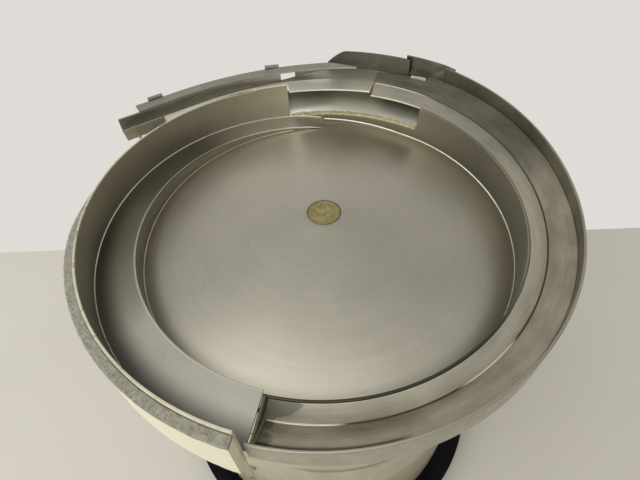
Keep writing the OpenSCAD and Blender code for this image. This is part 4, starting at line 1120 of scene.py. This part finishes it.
# Every CAD node takes the finish of its slot, and three of them a small edge radius.
slots = {entry["node"]: entry["material_slot"] for entry in frame["record"]["subparts"]}
EDGE = {"drive_housing": 0.4, "bowl_skirt": 0.4, "base_plate": 1.5}
for name, piece in nodes.items():
    piece.data.materials.clear()
    piece.data.materials.append(looks[slots[name]])
    if name in EDGE:
        bevel = piece.modifiers.new("edge", "BEVEL")
        bevel.width, bevel.segments, bevel.limit_method = EDGE[name] * MM, 3, "ANGLE"
        bevel.angle_limit = math.radians(50)
        bevel.harden_normals = True


def table_top():
    x, y, _, _ = place()
    grain = noise(vector(x, y, 0.0), 0.004, 3.0, 0.5)
    colour = blend((0.715, 0.69, 0.62), (0.66, 0.635, 0.565), grain)
    return {"Base_Color": colour, "Roughness": 0.5 + grain * 0.1}


def build_table():
    """Pale table whose far edge lies behind the machine."""
    wide, near, back = 3.0, -3.0, 0.353
    mesh = bpy.data.meshes.new("table")
    corners = [(-wide, near, 0), (wide, near, 0), (wide, back, 0), (-wide, back, 0)]
    mesh.from_pydata(corners, [], [(0, 1, 2, 3)])
    mesh.materials.append(finish("table_top", table_top))
    table = bpy.data.objects.new("table", mesh)
    bpy.context.scene.collection.objects.link(table)


def add_lamp(name, at, toward, size, watts, colour):
    data = bpy.data.lights.new(name, "AREA")
    data.shape, data.size, data.size_y = "RECTANGLE", size[0], size[1]
    data.energy, data.color = watts, colour
    lamp = bpy.data.objects.new(name, data)
    lamp.location = at
    lamp.rotation_euler = (Vector(toward) - Vector(at)).to_track_quat("-Z", "Y").to_euler()
    bpy.context.scene.collection.objects.link(lamp)


def build_room():
    """Soft room: pale background for the camera, a gentle gradient for the rest."""
    world = bpy.data.worlds.new("room")
    bpy.context.scene.world = world
    world.use_nodes = True
    Wire.tree = world.node_tree
    Wire.tree.nodes.clear()
    target = Wire.tree.nodes.new("ShaderNodeOutputWorld")
    way = Wire.node("ShaderNodeTexCoord", output="Generated")
    parts = Wire.tree.nodes.new("ShaderNodeSeparateXYZ")
    Wire.put(parts.inputs[0], way)
    across, depth, height = (Wire(parts.outputs[i]) for i in range(3))
    walls = blend((0.40, 0.39, 0.36), (0.46, 0.45, 0.42), height.band(0.0, 0.6))
    walls = blend(walls, (0.74, 0.72, 0.68), depth.band(0.0, 0.6) * height.band(0.72, 0.35))
    window_side = (0.35 - across * 0.6 - depth * 0.35).band(0.0, 1.0)
    room = blend(walls, (0.66, 0.65, 0.62), height.band(0.45, 0.95) * window_side)
    seen = Wire.node("ShaderNodeLightPath", output="Is Camera Ray")
    light, backdrop = (Wire.tree.nodes.new("ShaderNodeBackground") for _ in range(2))
    Wire.put(light.inputs[0], room)
    Wire.put(backdrop.inputs[0], (0.738, 0.716, 0.680))
    both = Wire.node("ShaderNodeMixShader", i0=seen, i1=Wire(light.outputs[0]), i2=Wire(backdrop.outputs[0]))
    Wire.put(target.inputs[0], both)


build_table()
build_room()
add_lamp("ceiling_panel", (-0.6, -1.0, 2.4), (0, 0, 0.4), (2.4, 1.8), 17, (1.0, 0.985, 0.95))
add_lamp("left_window", (-2.4, 0.4, 1.4), (0, 0, 0.45), (1.8, 1.4), 10, (0.98, 0.99, 1.0))
add_lamp("front_panel", (-1.8, -1.8, 1.0), (0, 0, 0.35), (1.8, 1.2), 23, (1.0, 0.99, 0.96))

bpy.context.view_layer.update()
